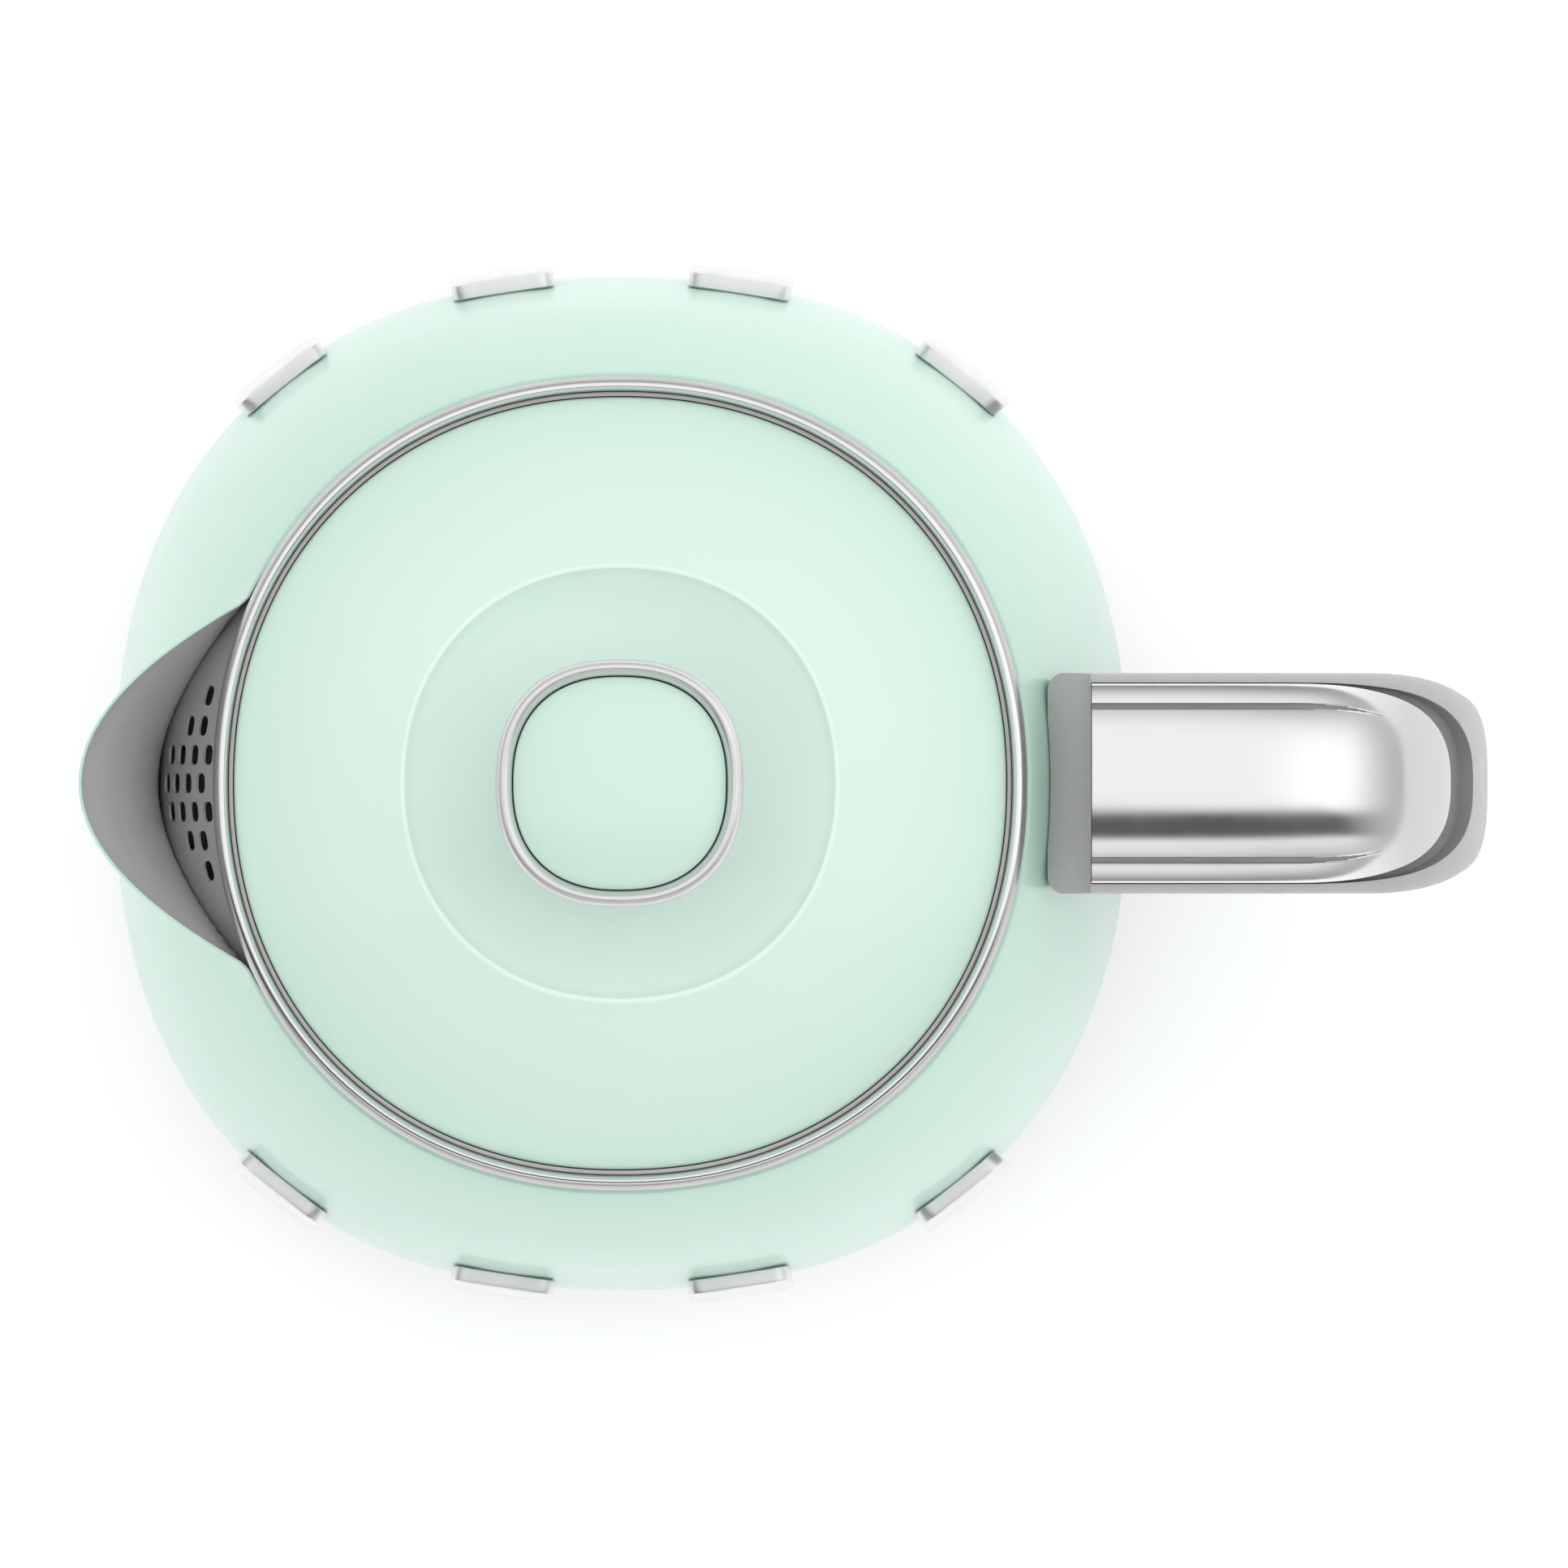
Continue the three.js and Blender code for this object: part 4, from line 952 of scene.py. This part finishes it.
def swept_handle(name, section, material):
    """A section of (across, outward) swept along the whole handle."""
    count = len(section)
    steps = 150
    points = []
    for length in spaced(steps, 0.0, HANDLE.total):
        points.extend(HANDLE.spot(length, across, outward) for across, outward in section)
    faces = grid_faces(steps + 1, count)
    faces.append(tuple(range(count)))
    faces.append(tuple(steps * count + i for i in reversed(range(count))))
    obj = make(name, points, faces, material)
    face_out(obj)
    return obj


def tongue(name, half, start, shoulder, nose, levels, material, groove_shade=None):
    """A tongue-shaped piece lying on the handle. Its outline runs straight from start to shoulder and
    round to the nose. levels are (share of the outline, height above the handle's surface), from the
    middle of the top out to the edge and back to the middle of the bottom. A height may be a function
    of how far round the nose the point is, from 0 at the sides to 1 at the tip. Between the two shares
    given for the groove, the straight sides take the second material, a dark chrome that paints the
    groove's shade."""
    power = 2 / 2.5
    straight = spaced(34, start, shoulder)
    bend = spaced(44, 0.0, math.pi)
    rows = []
    for share, height in levels:
        left = [(length, half * share) for length in straight[:-1]]
        turn = []
        for angle in bend:
            side = math.copysign(abs(math.cos(angle)) ** power, math.cos(angle))
            ahead = math.sin(angle) ** power if math.sin(angle) > 0 else 0
            turn.append((shoulder + (nose - shoulder) * share * ahead, half * share * side))
        right = [(length, -half * share) for length in reversed(straight[:-1])]
        noses = [0.0] * len(left) + [math.sin(angle) for angle in bend] + [0.0] * len(right)
        outline = zip(left + turn + right, noses)
        rise = height if callable(height) else lambda nose: height
        rows.append([HANDLE.spot(l, a, crown(a) + rise(nose)) for (l, a), nose in outline])
    columns = len(rows[0])
    faces = grid_faces(len(rows), columns, wrap_columns=False)
    front = [row * columns for row in range(len(rows))]
    back = [row * columns + columns - 1 for row in reversed(range(len(rows)))]
    faces.append(tuple(front + back))
    obj = make(name, [p for row in rows for p in row], faces, material)
    if groove_shade:
        middle = (groove_shade[0] + groove_shade[1]) / 2
        strips = columns - 1
        for i, face in enumerate(obj.data.polygons[: (len(rows) - 1) * strips]):
            share = (levels[i // strips][0] + levels[i // strips + 1][0]) / 2
            from_end = min(i % strips, strips - 1 - i % strips)
            into_bend = (from_end - len(straight)) / len(bend)
            half_band = (groove_shade[1] - middle) * (1 - smooth(into_bend, -0.05, 0.16))
            face.material_index = 1 if abs(share - middle) < half_band else 0
    weld(obj)
    face_out(obj)
    return obj


BAND_SHARE = 0.775  # where the cap's raised middle ends, as a share of its half width
BAND_FOOT = BAND_SHARE - 0.035
BAND_HEAD = BAND_SHARE + 0.03
POCKET_DEPTH = 2.0
SPLIT = -2.6  # the grip meets the core at this height from the centreline
CAP_START_LENGTH = HANDLE.length_at_x(CAP_START, HANDLE_THICK)
CAP_SHOULDER_LENGTH = HANDLE.length_at_x(95, HANDLE_THICK)
CAP_NOSE_LENGTH = HANDLE.length_at_x(CAP_NOSE, HANDLE_THICK + 0.5)
POCKET_NOSE_LENGTH = HANDLE.length_at_x(CAP_NOSE + 3.0, HANDLE_THICK)


def cap_height(share, nose):
    """Height of the chrome cap over the handle: a side ledge, a short slope, then the raised middle. Round
    the nose the slope fades into one smooth curve."""
    middle = 1.3 + 1.7 * (1 - min(share / BAND_SHARE, 1) ** 2.2)
    wall = smooth(share, BAND_FOOT, BAND_HEAD)
    ledge = middle * (1 - wall) + 0.45 * wall
    slope = 0.4 + 2.6 * (1 - share**2.2)
    fade = smooth(nose, 0.0, 0.55)
    return ledge * (1 - fade) + slope * fade


def handle_cap():
    shares = sorted({*spaced(20, 0.0, 0.70), *spaced(20, 0.71, 0.83), *spaced(6, 0.85, 0.98)})
    top = [(share, lambda nose, share=share: cap_height(share, nose)) for share in shares]
    edge = [(0.992, 0.42), (1.0, 0.2), (1.0, -0.9), (0.985, -1.05), (0.5, -1.05), (0.0, -1.05)]
    # the groove's faces along the cap's sides take the dark chrome: painted shade
    cap = tongue(
        "handle_cap",
        CAP_HALF,
        CAP_START_LENGTH,
        CAP_SHOULDER_LENGTH,
        CAP_NOSE_LENGTH,
        top + edge,
        [CAP_CHROME_SHADED_NOSE, GROOVE_SHADE_CHROME],
        groove_shade=(BAND_FOOT, BAND_HEAD),
    )
    return place(cap, "jug", "handle_cap", finish="chrome")


def body_cutter():
    """The body's outside moved out by the fitting gap, to cut the handle's ends to shape."""
    side = [(body_half(z) + GAP, z) for z in spaced(60, BODY_BOTTOM, BODY_SHOULDER)]
    profile = [(0, BODY_BOTTOM), *side, (0, BODY_SHOULDER)]
    return turned("cut", profile, GREY, body_square, sides=200)


def front_slope():
    """Cuts the bracket's top down towards the body."""
    toe = HANDLE_MIDDLE + HANDLE_RISE - 0.8
    wedge = [(HANDLE_ROOT, toe), (CAP_START - 0.2, toe + 3.6), (CAP_START - 0.2, 180), (HANDLE_ROOT - 4, 180)]
    wedge.append((HANDLE_ROOT - 4, toe - 2.5))
    return extruded("cut", wedge, -20, 20, GREY, SIDEWAYS)


def front_corners():
    """Everything in plan inside the bracket's rounded front corners."""
    corners = box_corners(HANDLE_ROOT + 0.05, HANDLE_END + 5, -HANDLE_HALF - 0.05, HANDLE_HALF + 0.05, 2.4)
    return extruded("cut", rounded(corners, closed=True), 0, 200, GREY)


def handle_core():
    core = swept_handle("handle_core", half_section(SPLIT + GAP / 2, 1), GREY)
    pocket_levels = [(0, 6), (0.5, 6), (1, 6), (1, -POCKET_DEPTH), (0.5, -POCKET_DEPTH), (0, -POCKET_DEPTH)]
    pocket = tongue(
        "cut",
        CAP_HALF + 0.15,
        CAP_START_LENGTH - 0.1,
        CAP_SHOULDER_LENGTH,
        POCKET_NOSE_LENGTH,
        pocket_levels,
        POCKET_GREY,
    )
    carve(core, pocket, body_cutter(), front_slope())
    carve(core, front_corners(), operation="INTERSECT")
    return place(bevelled(core, 0.3, 2, 50), "jug", "handle_core", finish="handle_grey")


def handle_grip():
    grip = swept_handle("handle_grip", half_section(SPLIT - GAP / 2, -1), DARK)
    upper = node_centre("handle_screw_upper")
    lower = node_centre("handle_screw_lower")
    rooms = [round_bar(*upper, 3.4, 140, low("handle_screw_upper", Z) + 2.4)]
    rooms.append(round_bar(*lower, 3.4, high("handle_screw_lower", Z) - 2.4, 80))
    carve(grip, body_cutter(), *rooms)
    carve(grip, front_corners(), operation="INTERSECT")
    return place(bevelled(grip, 0.3, 2, 50), "jug", "handle_grip", finish="dark_plastic")


# ---- badges ----

def body_spot(angle, z):
    """A point on the body's outside, with the directions out of it and along its plan."""
    n = body_square(0, z)
    reach = body_half(z) * square_factor(angle, n)
    x = reach * math.cos(angle)
    y = reach * math.sin(angle)
    lean = math.atan2(body_half(z - 1) - body_half(z + 1), 2)
    flat = Vector((math.copysign(abs(x) ** (n - 1), x), math.copysign(abs(y) ** (n - 1), y), 0)).normalized()
    out = Vector((flat.x * math.cos(lean), flat.y * math.cos(lean), math.sin(lean)))
    return Vector((x, y, z)), out, Vector((-flat.y, flat.x, 0))


def plate_on_body(name, angle, z, corners, loops, material):
    """A plate bent to the body's outside at an angle and height. loops are (share of the outline, height
    above the body), from the middle of the back round the edge to the middle of the front."""
    outline = rounded(corners, closed=True, steps=8)
    half_width = max(across for across, _ in outline)
    half_height = max(up for _, up in outline)
    reach = body_half(z) * square_factor(angle, body_square(0, z))
    margin = min(half_width, half_height)
    points = []
    for share, height in loops:
        for across, up in outline:
            u = across * (1 - (1 - share) * margin / half_width)
            v = up * (1 - (1 - share) * margin / half_height)
            spot, out, _ = body_spot(angle + u / reach, z + v)
            points.append(spot + out * height)
    plate = make(name, points, tube_faces(len(loops), len(outline)), material)
    face_out(plate)
    return plate


def badge(name, half_width, half_height, thick):
    """A plain bright plate with round corners and pillowed edges, bent to the body where it sits."""
    middle = middle_of(name)
    back = [(0.2, 0), (0.95, 0), (1.0, 0.12)]
    levels = [*back, (1.0, 0.7), (0.985, 0.88), (0.94, 0.97), (0.87, 1.0), (0.5, 1.0)]
    loops = [(share, 0.05 + level * (thick + GAP)) for share, level in levels]
    corners = box_corners(-half_width, half_width, -half_height, half_height, 2.4)
    plate = plate_on_body(name, math.atan2(middle.y, middle.x), middle.z, corners, loops, SATIN_CHROME)
    return place(plate, "jug", name, finish="chrome")


def badges():
    for side in ("left", "right"):
        for i in range(1, 5):
            badge(f"badge_{side}_{i}", 7.2, 9, 2.2)


# ---- water window ----

def level_window():
    """A clear bar with a domed front, set in its slot at the back of the body, with plain marks on it."""
    half_width = WINDOW_HALF - 0.25
    half_height = (WINDOW_HIGH - WINDOW_LOW) / 2 - 0.25
    middle = (WINDOW_HIGH + WINDOW_LOW) / 2
    corners = box_corners(-half_width, half_width, -half_height, half_height, half_width - 0.05)
    front = [(math.cos(a), 0.25 + 0.6 * math.sin(a)) for a in spaced(8, 0.0, math.pi / 2 - 0.15)]
    pane = plate_on_body("level_window", 0, middle, corners, [(0.2, -1.9), (1.0, -1.9), *front], WINDOW)
    place(pane, "jug", "level_window", finish="clear_plastic")
    count = 7
    for i, z in enumerate(spaced(count - 1, WINDOW_LOW + 7, WINDOW_HIGH - 7)):
        half = 2.4 if i in (0, count - 1) else 1.5
        mark = [(0.3, 0.80), (1.0, 0.80), (1.0, 0.90), (0.3, 0.92)]
        corners = box_corners(-half, half, -0.28, 0.28, 0.1)
        bar = plate_on_body(f"level_mark_{i + 1}", 0, z, corners, mark, PRINT)
        place(bar, "jug", finish="chrome")


# ---- switch lever ----

def switch_lever():
    """The paddle under the handle, with its barrel, its inner tail and the seat for the lens."""
    lo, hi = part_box("switch_lever")
    pin = middle_of("lever_pin")
    tip = hi.x / MM
    outline = rounded(
        [
            (pin.x + 2, 28.8, 0),
            (pin.x + 11, 28.6, 6),
            (pin.x + 18, 28.8, 12),
            (pin.x + 26, 30.8, 12),
            (tip - 0.6, 34.4, 1.0),
            (tip, 36.6, 0.8),
            (pin.x + 30.5, 37.3, 1.2),
            (pin.x + 25, 34.4, 14),
            (pin.x + 18, 32.8, 14),
            (pin.x + 12, 32.6, 6),
            (pin.x + 2, 32.4, 0),
        ],
        closed=True,
        steps=6,
    )
    half = hi.y / MM
    paddle = extruded("switch_lever", outline, -half, half, GREY, SIDEWAYS)
    bevelled(paddle, 0.9, 4, 60)
    barrel = circle(3.6, 32, pin.x, pin.z)
    tail = [(lo.x / MM, 28.2), (pin.x - 1.8, 28.2), (pin.x - 1.8, 29.6), (lo.x / MM, 29.6)]
    added = [
        extruded("cut", barrel, -half + 0.1, half - 0.1, GREY, SIDEWAYS),
        extruded("cut", tail, -half + 0.4, half - 0.4, GREY, SIDEWAYS),
    ]
    carve(paddle, *added, operation="UNION")
    bore = circle(1.8, 24, pin.x, pin.z)
    seat_lo, seat_hi = corners_of("power_lens")
    seat_outline = rounded(box_corners(seat_lo.x - 0.2, seat_hi.x + 0.2, -5.2, 5.2, 0.8), closed=True)
    seat = extruded("cut", seat_outline, seat_lo.z - 0.2, 45, GREY)
    carve(paddle, extruded("cut", bore, -20, 20, GREY, SIDEWAYS), seat)
    place(paddle, "lever", "switch_lever", finish="handle_grey")
    lens_outline = rounded(box_corners(seat_lo.x, seat_hi.x, -5, 5, 0.7), closed=True)
    lens = extruded("power_lens", lens_outline, seat_lo.z, seat_hi.z, AMBER)
    place(bevelled(lens, 0.4, 4), "lever", "power_lens", finish="amber_lens")


# ---- screws, feet and other round pieces ----

def round_bar(x, y, radius, start, end):
    profile = [(0, start), (radius, start), (radius, end), (0, end)]
    return turned("cut", profile, DARK, sides=40, centre=(x, y))


def cross_screw(name, body):
    """A pan-head screw with a cross recess; the wide end of its CAD node is the head."""
    lo, hi = corners_of(name)
    x = (lo.x + hi.x) / 2
    y = (lo.y + hi.y) / 2
    head = (hi.x - lo.x) / 2
    down = name != "handle_screw_lower"
    face, away, tip = (lo.z, 1, hi.z) if down else (hi.z, -1, lo.z)
    under = face + away * 2
    profile = [(0, face, 0), (head * 0.7, face, 1.2), (head, face + away * 0.7, 0.5), (head, under, 0.2)]
    profile += [(head / 2, under, 0.2), (head / 2, tip - away, 0.1), (head / 4, tip, 0.1), (0, tip, 0)]
    screw = turned(name, rounded(profile), STEEL, sides=40, centre=(x, y))
    depths = sorted((face - away * 0.5, face + away * 1.1))
    arm = (head * 0.14, head * 0.55)
    for half_x, half_y in (arm, reversed(arm)):
        corners = rounded(box_corners(x - half_x, x + half_x, y - half_y, y + half_y, 0), closed=True)
        carve(screw, extruded("cut", corners, *depths, STEEL))
    return place(screw, body, name, finish="steel")


def rubber_foot(name):
    lo, hi = corners_of(name)
    radius = (hi.y - lo.y) / 2
    profile = rounded(
        [
            (0, lo.z + 0.5, 0),
            (radius - 3.2, lo.z + 0.5, 0.2),
            (radius - 2.4, lo.z, 0.3),
            (radius - 0.3, lo.z, 0.4),
            (radius, lo.z + 0.9, 0.3),
            (radius, hi.z, 0.2),
            (0, hi.z, 0),
        ]
    )
    foot = turned(name, profile, RUBBER, sides=64, centre=((lo.x + hi.x) / 2, (lo.y + hi.y) / 2))
    return place(foot, "power_base", name, finish="rubber")


def foot_ring():
    half = body_half(BODY_BOTTOM)
    bottom = low("foot_ring", Z)
    corners = [
        (half - 5.4, bottom, 0.4),
        (half - 2.6, bottom, 1.0),
        (half - 0.7, bottom + 1.2, 1.4),
        (half + 0.2, bottom + 3.4, 0.8),
        (half + 0.1, BODY_BOTTOM - GAP, 0.3),
        (half - 3.2, BODY_BOTTOM - GAP, 0.2),
        (half - 3.2, bottom + 3.3, 0.2),
        (half - 5.4, bottom + 3.3, 0.3),
    ]
    round_piece("foot_ring", "jug", "chrome", CHROME, corners, 256, BODY_SQUARE)


def round_piece(name, body, finish, material, corners, sides=96, squareness=ROUND, holes=()):
    """A closed turned piece with eased corners, in place of its CAD node."""
    piece = turned(name, rounded(corners, closed=True), material, squareness, sides=sides, closed=True)
    if holes:
        carve(piece, *holes)
    return place(piece, body, name, finish=finish)


def gland_bar(radius, start, end):
    """A round bar along X on the cord's line."""
    lo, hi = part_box("cord_gland")
    turn = Matrix.Translation((0, 0, (lo.z + hi.z) / 2 / MM)) @ Matrix.Rotation(math.pi / 2, 4, "Y")
    return extruded("cut", circle(radius, 48), start, end, DARK, turn)


def power_base():
    edge = BASE_HALF
    cover = [
        (edge, 2.4, 0.3),
        (edge, 9, 3),
        (edge - 1.6, 12.2, 3),
        (edge - 8, BASE_TOP, 5),
        (23, BASE_TOP, 1.2),
        (18.4, BASE_TOP - 2.4, 0.4),
        (18.4, BASE_TOP - 4.4, 0.2),
        (edge - 9, BASE_TOP - 2, 3),
        (edge - 2, 8, 3),
        (edge - 2, 2.4, 0.2),
    ]
    round_piece("base_cover", "power_base", "handle_grey", GREY, cover, 200, holes=[gland_bar(5.4, 50, 70)])
    feet = [round_bar(*node_centre(f"rubber_foot_{i}"), 5.9, -1, 2.4) for i in range(1, 5)]
    screws = [round_bar(*node_centre(f"base_screw_{i}"), 3.4, -1, 3.6) for i in range(1, 4)]
    bottom = low("base_underside", Z)
    side = [(edge - 4, bottom, 1), (edge - 2.4, 2.4, 0.6), (edge - 2.4, 5, 0.2)]
    profile = rounded([(0, bottom, 0), *side, (0, 5, 0)])
    underside = turned("base_underside", profile, DARK, sides=200)
    carve(underside, *feet, *screws, gland_bar(5.4, 50, 70))
    place(underside, "power_base", "base_underside", finish="dark_plastic")
    for i in range(1, 5):
        rubber_foot(f"rubber_foot_{i}")
    for i in range(1, 4):
        cross_screw(f"base_screw_{i}", "power_base")
    connector = [
        (3.4, 9, 0.2),
        (18, 9, 0.2),
        (18, 14.8, 0.5),
        (12, 15.4, 0.6),
        (12, 24.6, 0.8),
        (11, 26, 0.6),
        (9.4, 26, 0.3),
        (9.4, 21, 0.2),
        (6.6, 21, 0.2),
        (6.6, 27, 0.4),
        (3.4, 27.4, 0.3),
    ]
    round_piece("base_connector", "power_base", "black_plastic", BLACK, connector)
    pin = rounded([(0, 10, 0), (3.1, 10, 0.2), (3.1, 28.6, 0.8), (1.6, 30.2, 0.8), (0, 30.6, 0)])
    place(turned("earth_pin", pin, BRASS, sides=64), "power_base", "earth_pin", finish="brass")
    live = [(7.2, 21.3, 0.2), (8.8, 21.3, 0.2), (8.8, 25, 0.5), (7.2, 25, 0.5)]
    round_piece("live_ring", "power_base", "brass", BRASS, live)


def cord_gland():
    """A rubber bush with a collar and two grip rings, for the cord that comes out at the back."""
    lo, hi = corners_of("cord_gland")
    collar = (hi.y - lo.y) / 2
    profile = rounded(
        [
            (3.4, lo.x, 0.3),
            (5, lo.x, 0.3),
            (5, lo.x + 3, 0.2),
            (4.6, lo.x + 3.4, 0.2),
            (4.6, lo.x + 5, 0.2),
            (5, lo.x + 5.4, 0.2),
            (5, hi.x - 2.4, 0.2),
            (collar, hi.x - 2.4, 0.3),
            (collar, hi.x - 0.8, 0.8),
            (4.4, hi.x, 0.6),
            (3.4, hi.x - 0.4, 0.3),
        ],
        closed=True,
    )
    gland = turned("cord_gland", profile, RUBBER, sides=64, closed=True)
    turn = Matrix.Translation((0, 0, (lo.z + hi.z) / 2 * MM)) @ Matrix.Rotation(math.pi / 2, 4, "Y")
    gland.data.transform(turn)
    return place(gland, "power_base", "cord_gland", finish="rubber")


def underneath_square(radius, z):
    """Round at the socket, and as square as the body outside it."""
    return BODY_SQUARE if radius > 40 else ROUND


def jug_underneath():
    half = body_half(BODY_BOTTOM)
    outer = high("base_socket", Y)
    screws = [round_bar(*node_centre(f"cover_screw_{i}"), 3.3, 10, 19.4) for i in range(1, 4)]
    corners = [
        (outer + 0.5, 16.6, 0.3),
        (outer + 2.4, 16.6, 0.4),
        (outer + 2.4, 18.2, 0.6),
        (half - 5.6, 18.6, 0.2),
        (half - 3.5, 18.6, 0.2),
        (half - 3.5, 20.4, 0.2),
        (outer + 2.4, 20.4, 0.6),
        (outer + 2.4, 24, 0.4),
        (outer + 0.5, 24, 0.3),
    ]
    profile = rounded(corners, closed=True)
    cover = turned("jug_bottom_cover", profile, DARK, underneath_square, sides=200, closed=True)
    pin = middle_of("lever_pin")
    lug_top = [(pin.x + 3.2, 34.4, 3), (pin.x - 3.2, 34.4, 3)]
    lug = rounded([(pin.x - 3.2, 20, 0), (pin.x + 3.2, 20, 0), *lug_top], closed=True)
    lugs = []
    for side in (-1, 1):
        ends = sorted((side * 10.8, side * 13.2))
        lugs.append(extruded("cut", lug, *ends, DARK, SIDEWAYS))
    carve(cover, *lugs, operation="UNION")
    carve(cover, *screws)
    place(cover, "jug", "jug_bottom_cover", finish="dark_plastic")
    for i in range(1, 4):
        cross_screw(f"cover_screw_{i}", "jug")
    socket = [
        (12.6, 17, 0.5),
        (outer, 17, 0.6),
        (outer, 26, 1.5),
        (17.4, 30.6, 1.5),
        (4.4, 30.6, 0.4),
        (4.4, 28.4, 0.3),
        (12.6, 28.4, 1.0),
    ]
    round_piece("base_socket", "socket", "black_plastic", BLACK, socket, 128)


def jug_inside():
    floor_z = FLOOR_TOP - 1.2
    half = body_half(floor_z - 8) - WALL - GAP
    profile = rounded(
        [
            (0, floor_z, 0),
            (half - 3, floor_z, 1),
            (half - 1.9, floor_z - 1.4, 0.5),
            (half - 1.9, floor_z - 8, 0.3),
            (half - 0.9, floor_z - 8, 0.3),
            (half - 0.9, floor_z - 0.6, 1),
            (half - 2.4, FLOOR_TOP, 1),
            (30, FLOOR_TOP, 1),
            (29, FLOOR_TOP - 0.4, 1),
            (0, FLOOR_TOP - 0.4, 0),
        ]
    )
    plate = turned("element_plate", profile, STEEL, BODY_SQUARE, sides=200)
    place(plate, "jug", "element_plate", finish="steel")
    lo, hi = corners_of("steam_tube")
    outer = (hi.x - lo.x) / 2
    centre = node_centre("steam_tube")
    inner = outer - 1.4
    tube = [(inner, lo.z, 0.2), (outer, lo.z, 0.4), (outer, hi.z, 0.6), (inner, hi.z, 0.6)]
    profile = rounded(tube, closed=True)
    piece = turned("steam_tube", profile, STEEL, sides=48, closed=True, centre=centre)
    place(piece, "jug", "steam_tube", finish="steel")


# ---- studio ----

def floor():
    bpy.ops.mesh.primitive_plane_add(size=30)
    plane = bpy.context.object
    plane.name = "studio_floor"
    plane.data.materials.append(white_floor())


def studio_world():
    """A soft white room: bright overhead, dimmer towards the horizon and brighter at the handle's end, with
    one dark gap in the ceiling."""
    world = bpy.data.worlds.new("studio")
    world.use_nodes = True
    bpy.context.scene.world = world
    tree = world.node_tree
    nodes = tree.nodes
    background = nodes["Background"]
    direction = nodes.new("ShaderNodeTexCoord").outputs["Generated"]
    split = nodes.new("ShaderNodeSeparateXYZ")
    tree.links.new(direction, split.inputs["Vector"])

    def soft(value, *limits):
        return ranged(tree, value, *limits, interpolation="SMOOTHSTEP")

    def combined(operation, first, second):
        node = nodes.new("ShaderNodeMath")
        node.operation = operation
        for socket, value in zip(node.inputs, (first, second)):
            if isinstance(value, float):
                socket.default_value = value
            else:
                tree.links.new(value, socket)
        return node.outputs["Value"]

    height = soft(split.outputs["Z"], 0.1, 0.85, 0.34, 1.12)
    end_wall = soft(split.outputs["X"], 0.30, 0.85, 0.0, 0.42)
    halfway = combined("MAXIMUM", combined("ADD", split.outputs["Z"], 1.0), 0.05)
    across = combined("DIVIDE", split.outputs["Y"], halfway)
    near_edge = soft(across, -0.08, -0.175, 0.0, 1.0)
    far_edge = soft(across, -0.31, -0.41, 1.0, 0.0)
    gap_end = soft(combined("DIVIDE", split.outputs["X"], halfway), 0.42, 0.95, 1.0, 0.0)
    gap = combined("MULTIPLY", combined("MULTIPLY", near_edge, far_edge), gap_end)
    kept = combined("SUBTRACT", 1.0, combined("MULTIPLY", gap, 0.90))
    room = combined("ADD", height, end_wall)
    tree.links.new(combined("MULTIPLY", room, kept), background.inputs["Strength"])
    background.inputs["Color"].default_value = (1.0, 1.0, 1.0, 1.0)


def softbox(name, spot, size, power):
    """A flat light aimed at the middle of the kettle, which doesn't show in reflections."""
    light = bpy.data.lights.new(name, "AREA")
    light.shape = "RECTANGLE"
    light.size, light.size_y = size
    light.energy = power
    obj = bpy.data.objects.new(name, light)
    obj.location = spot
    aim = Vector((0.02, 0, 0.1)) - Vector(spot)
    obj.rotation_euler = aim.to_track_quat("-Z", "Y").to_euler()
    obj.visible_glossy = False
    bpy.context.scene.collection.objects.link(obj)


def overhead_light(strength):
    """A wide soft light straight down."""
    light = bpy.data.lights.new("overhead_light", "SUN")
    light.energy = strength
    light.angle = math.radians(50)
    obj = bpy.data.objects.new("overhead_light", light)
    obj.location = (0, 0, 2)
    obj.visible_glossy = False
    bpy.context.scene.collection.objects.link(obj)


def overhead_camera():
    """Looks straight down through a very long lens, with +X to the right."""
    camera = bpy.data.cameras.new("camera")
    obj = bpy.data.objects.new("camera", camera)
    bpy.context.scene.collection.objects.link(obj)
    bpy.context.scene.camera = obj
    middle = (0.0230, -0.0001)
    distance = 9.2
    view_width = 0.2201
    camera.sensor_width = 36
    camera.lens = camera.sensor_width * (distance - BODY_SHOULDER * MM) / view_width
    camera.clip_start = 1
    camera.clip_end = 50
    obj.location = (*middle, distance)


floor()
overhead_camera()
studio_world()
overhead_light(0.58)
softbox("spout_light", (-1.0, -0.7, 1.4), (0.9, 0.9), 1.5)
bpy.context.scene.view_settings.view_transform = "Standard"

body_shell()
limescale_filter()
rim_ring()
lid_cover()
lid_underside()
knob()
handle_core()
handle_grip()
handle_cap()
cross_screw("handle_screw_upper", "jug")
cross_screw("handle_screw_lower", "jug")
badges()
level_window()
switch_lever()
foot_ring()
jug_underneath()
jug_inside()
power_base()
cord_gland()

FINISHES = {
    "mint_enamel": MINT,
    "chrome": CHROME,
    "handle_grey": GREY,
    "dark_plastic": DARK,
    "black_plastic": BLACK,
    "steel": STEEL,
    "brass": BRASS,
    "silicone": SILICONE,
    "rubber": RUBBER,
    "clear_plastic": WINDOW,
    "amber_lens": AMBER,
}
slots = {part["node"]: part["material_slot"] for part in frame["record"]["subparts"]}
for node_name, node in frame["nodes"].items():
    node.data.materials.clear()
    node.data.materials.append(FINISHES[slots[node_name]])
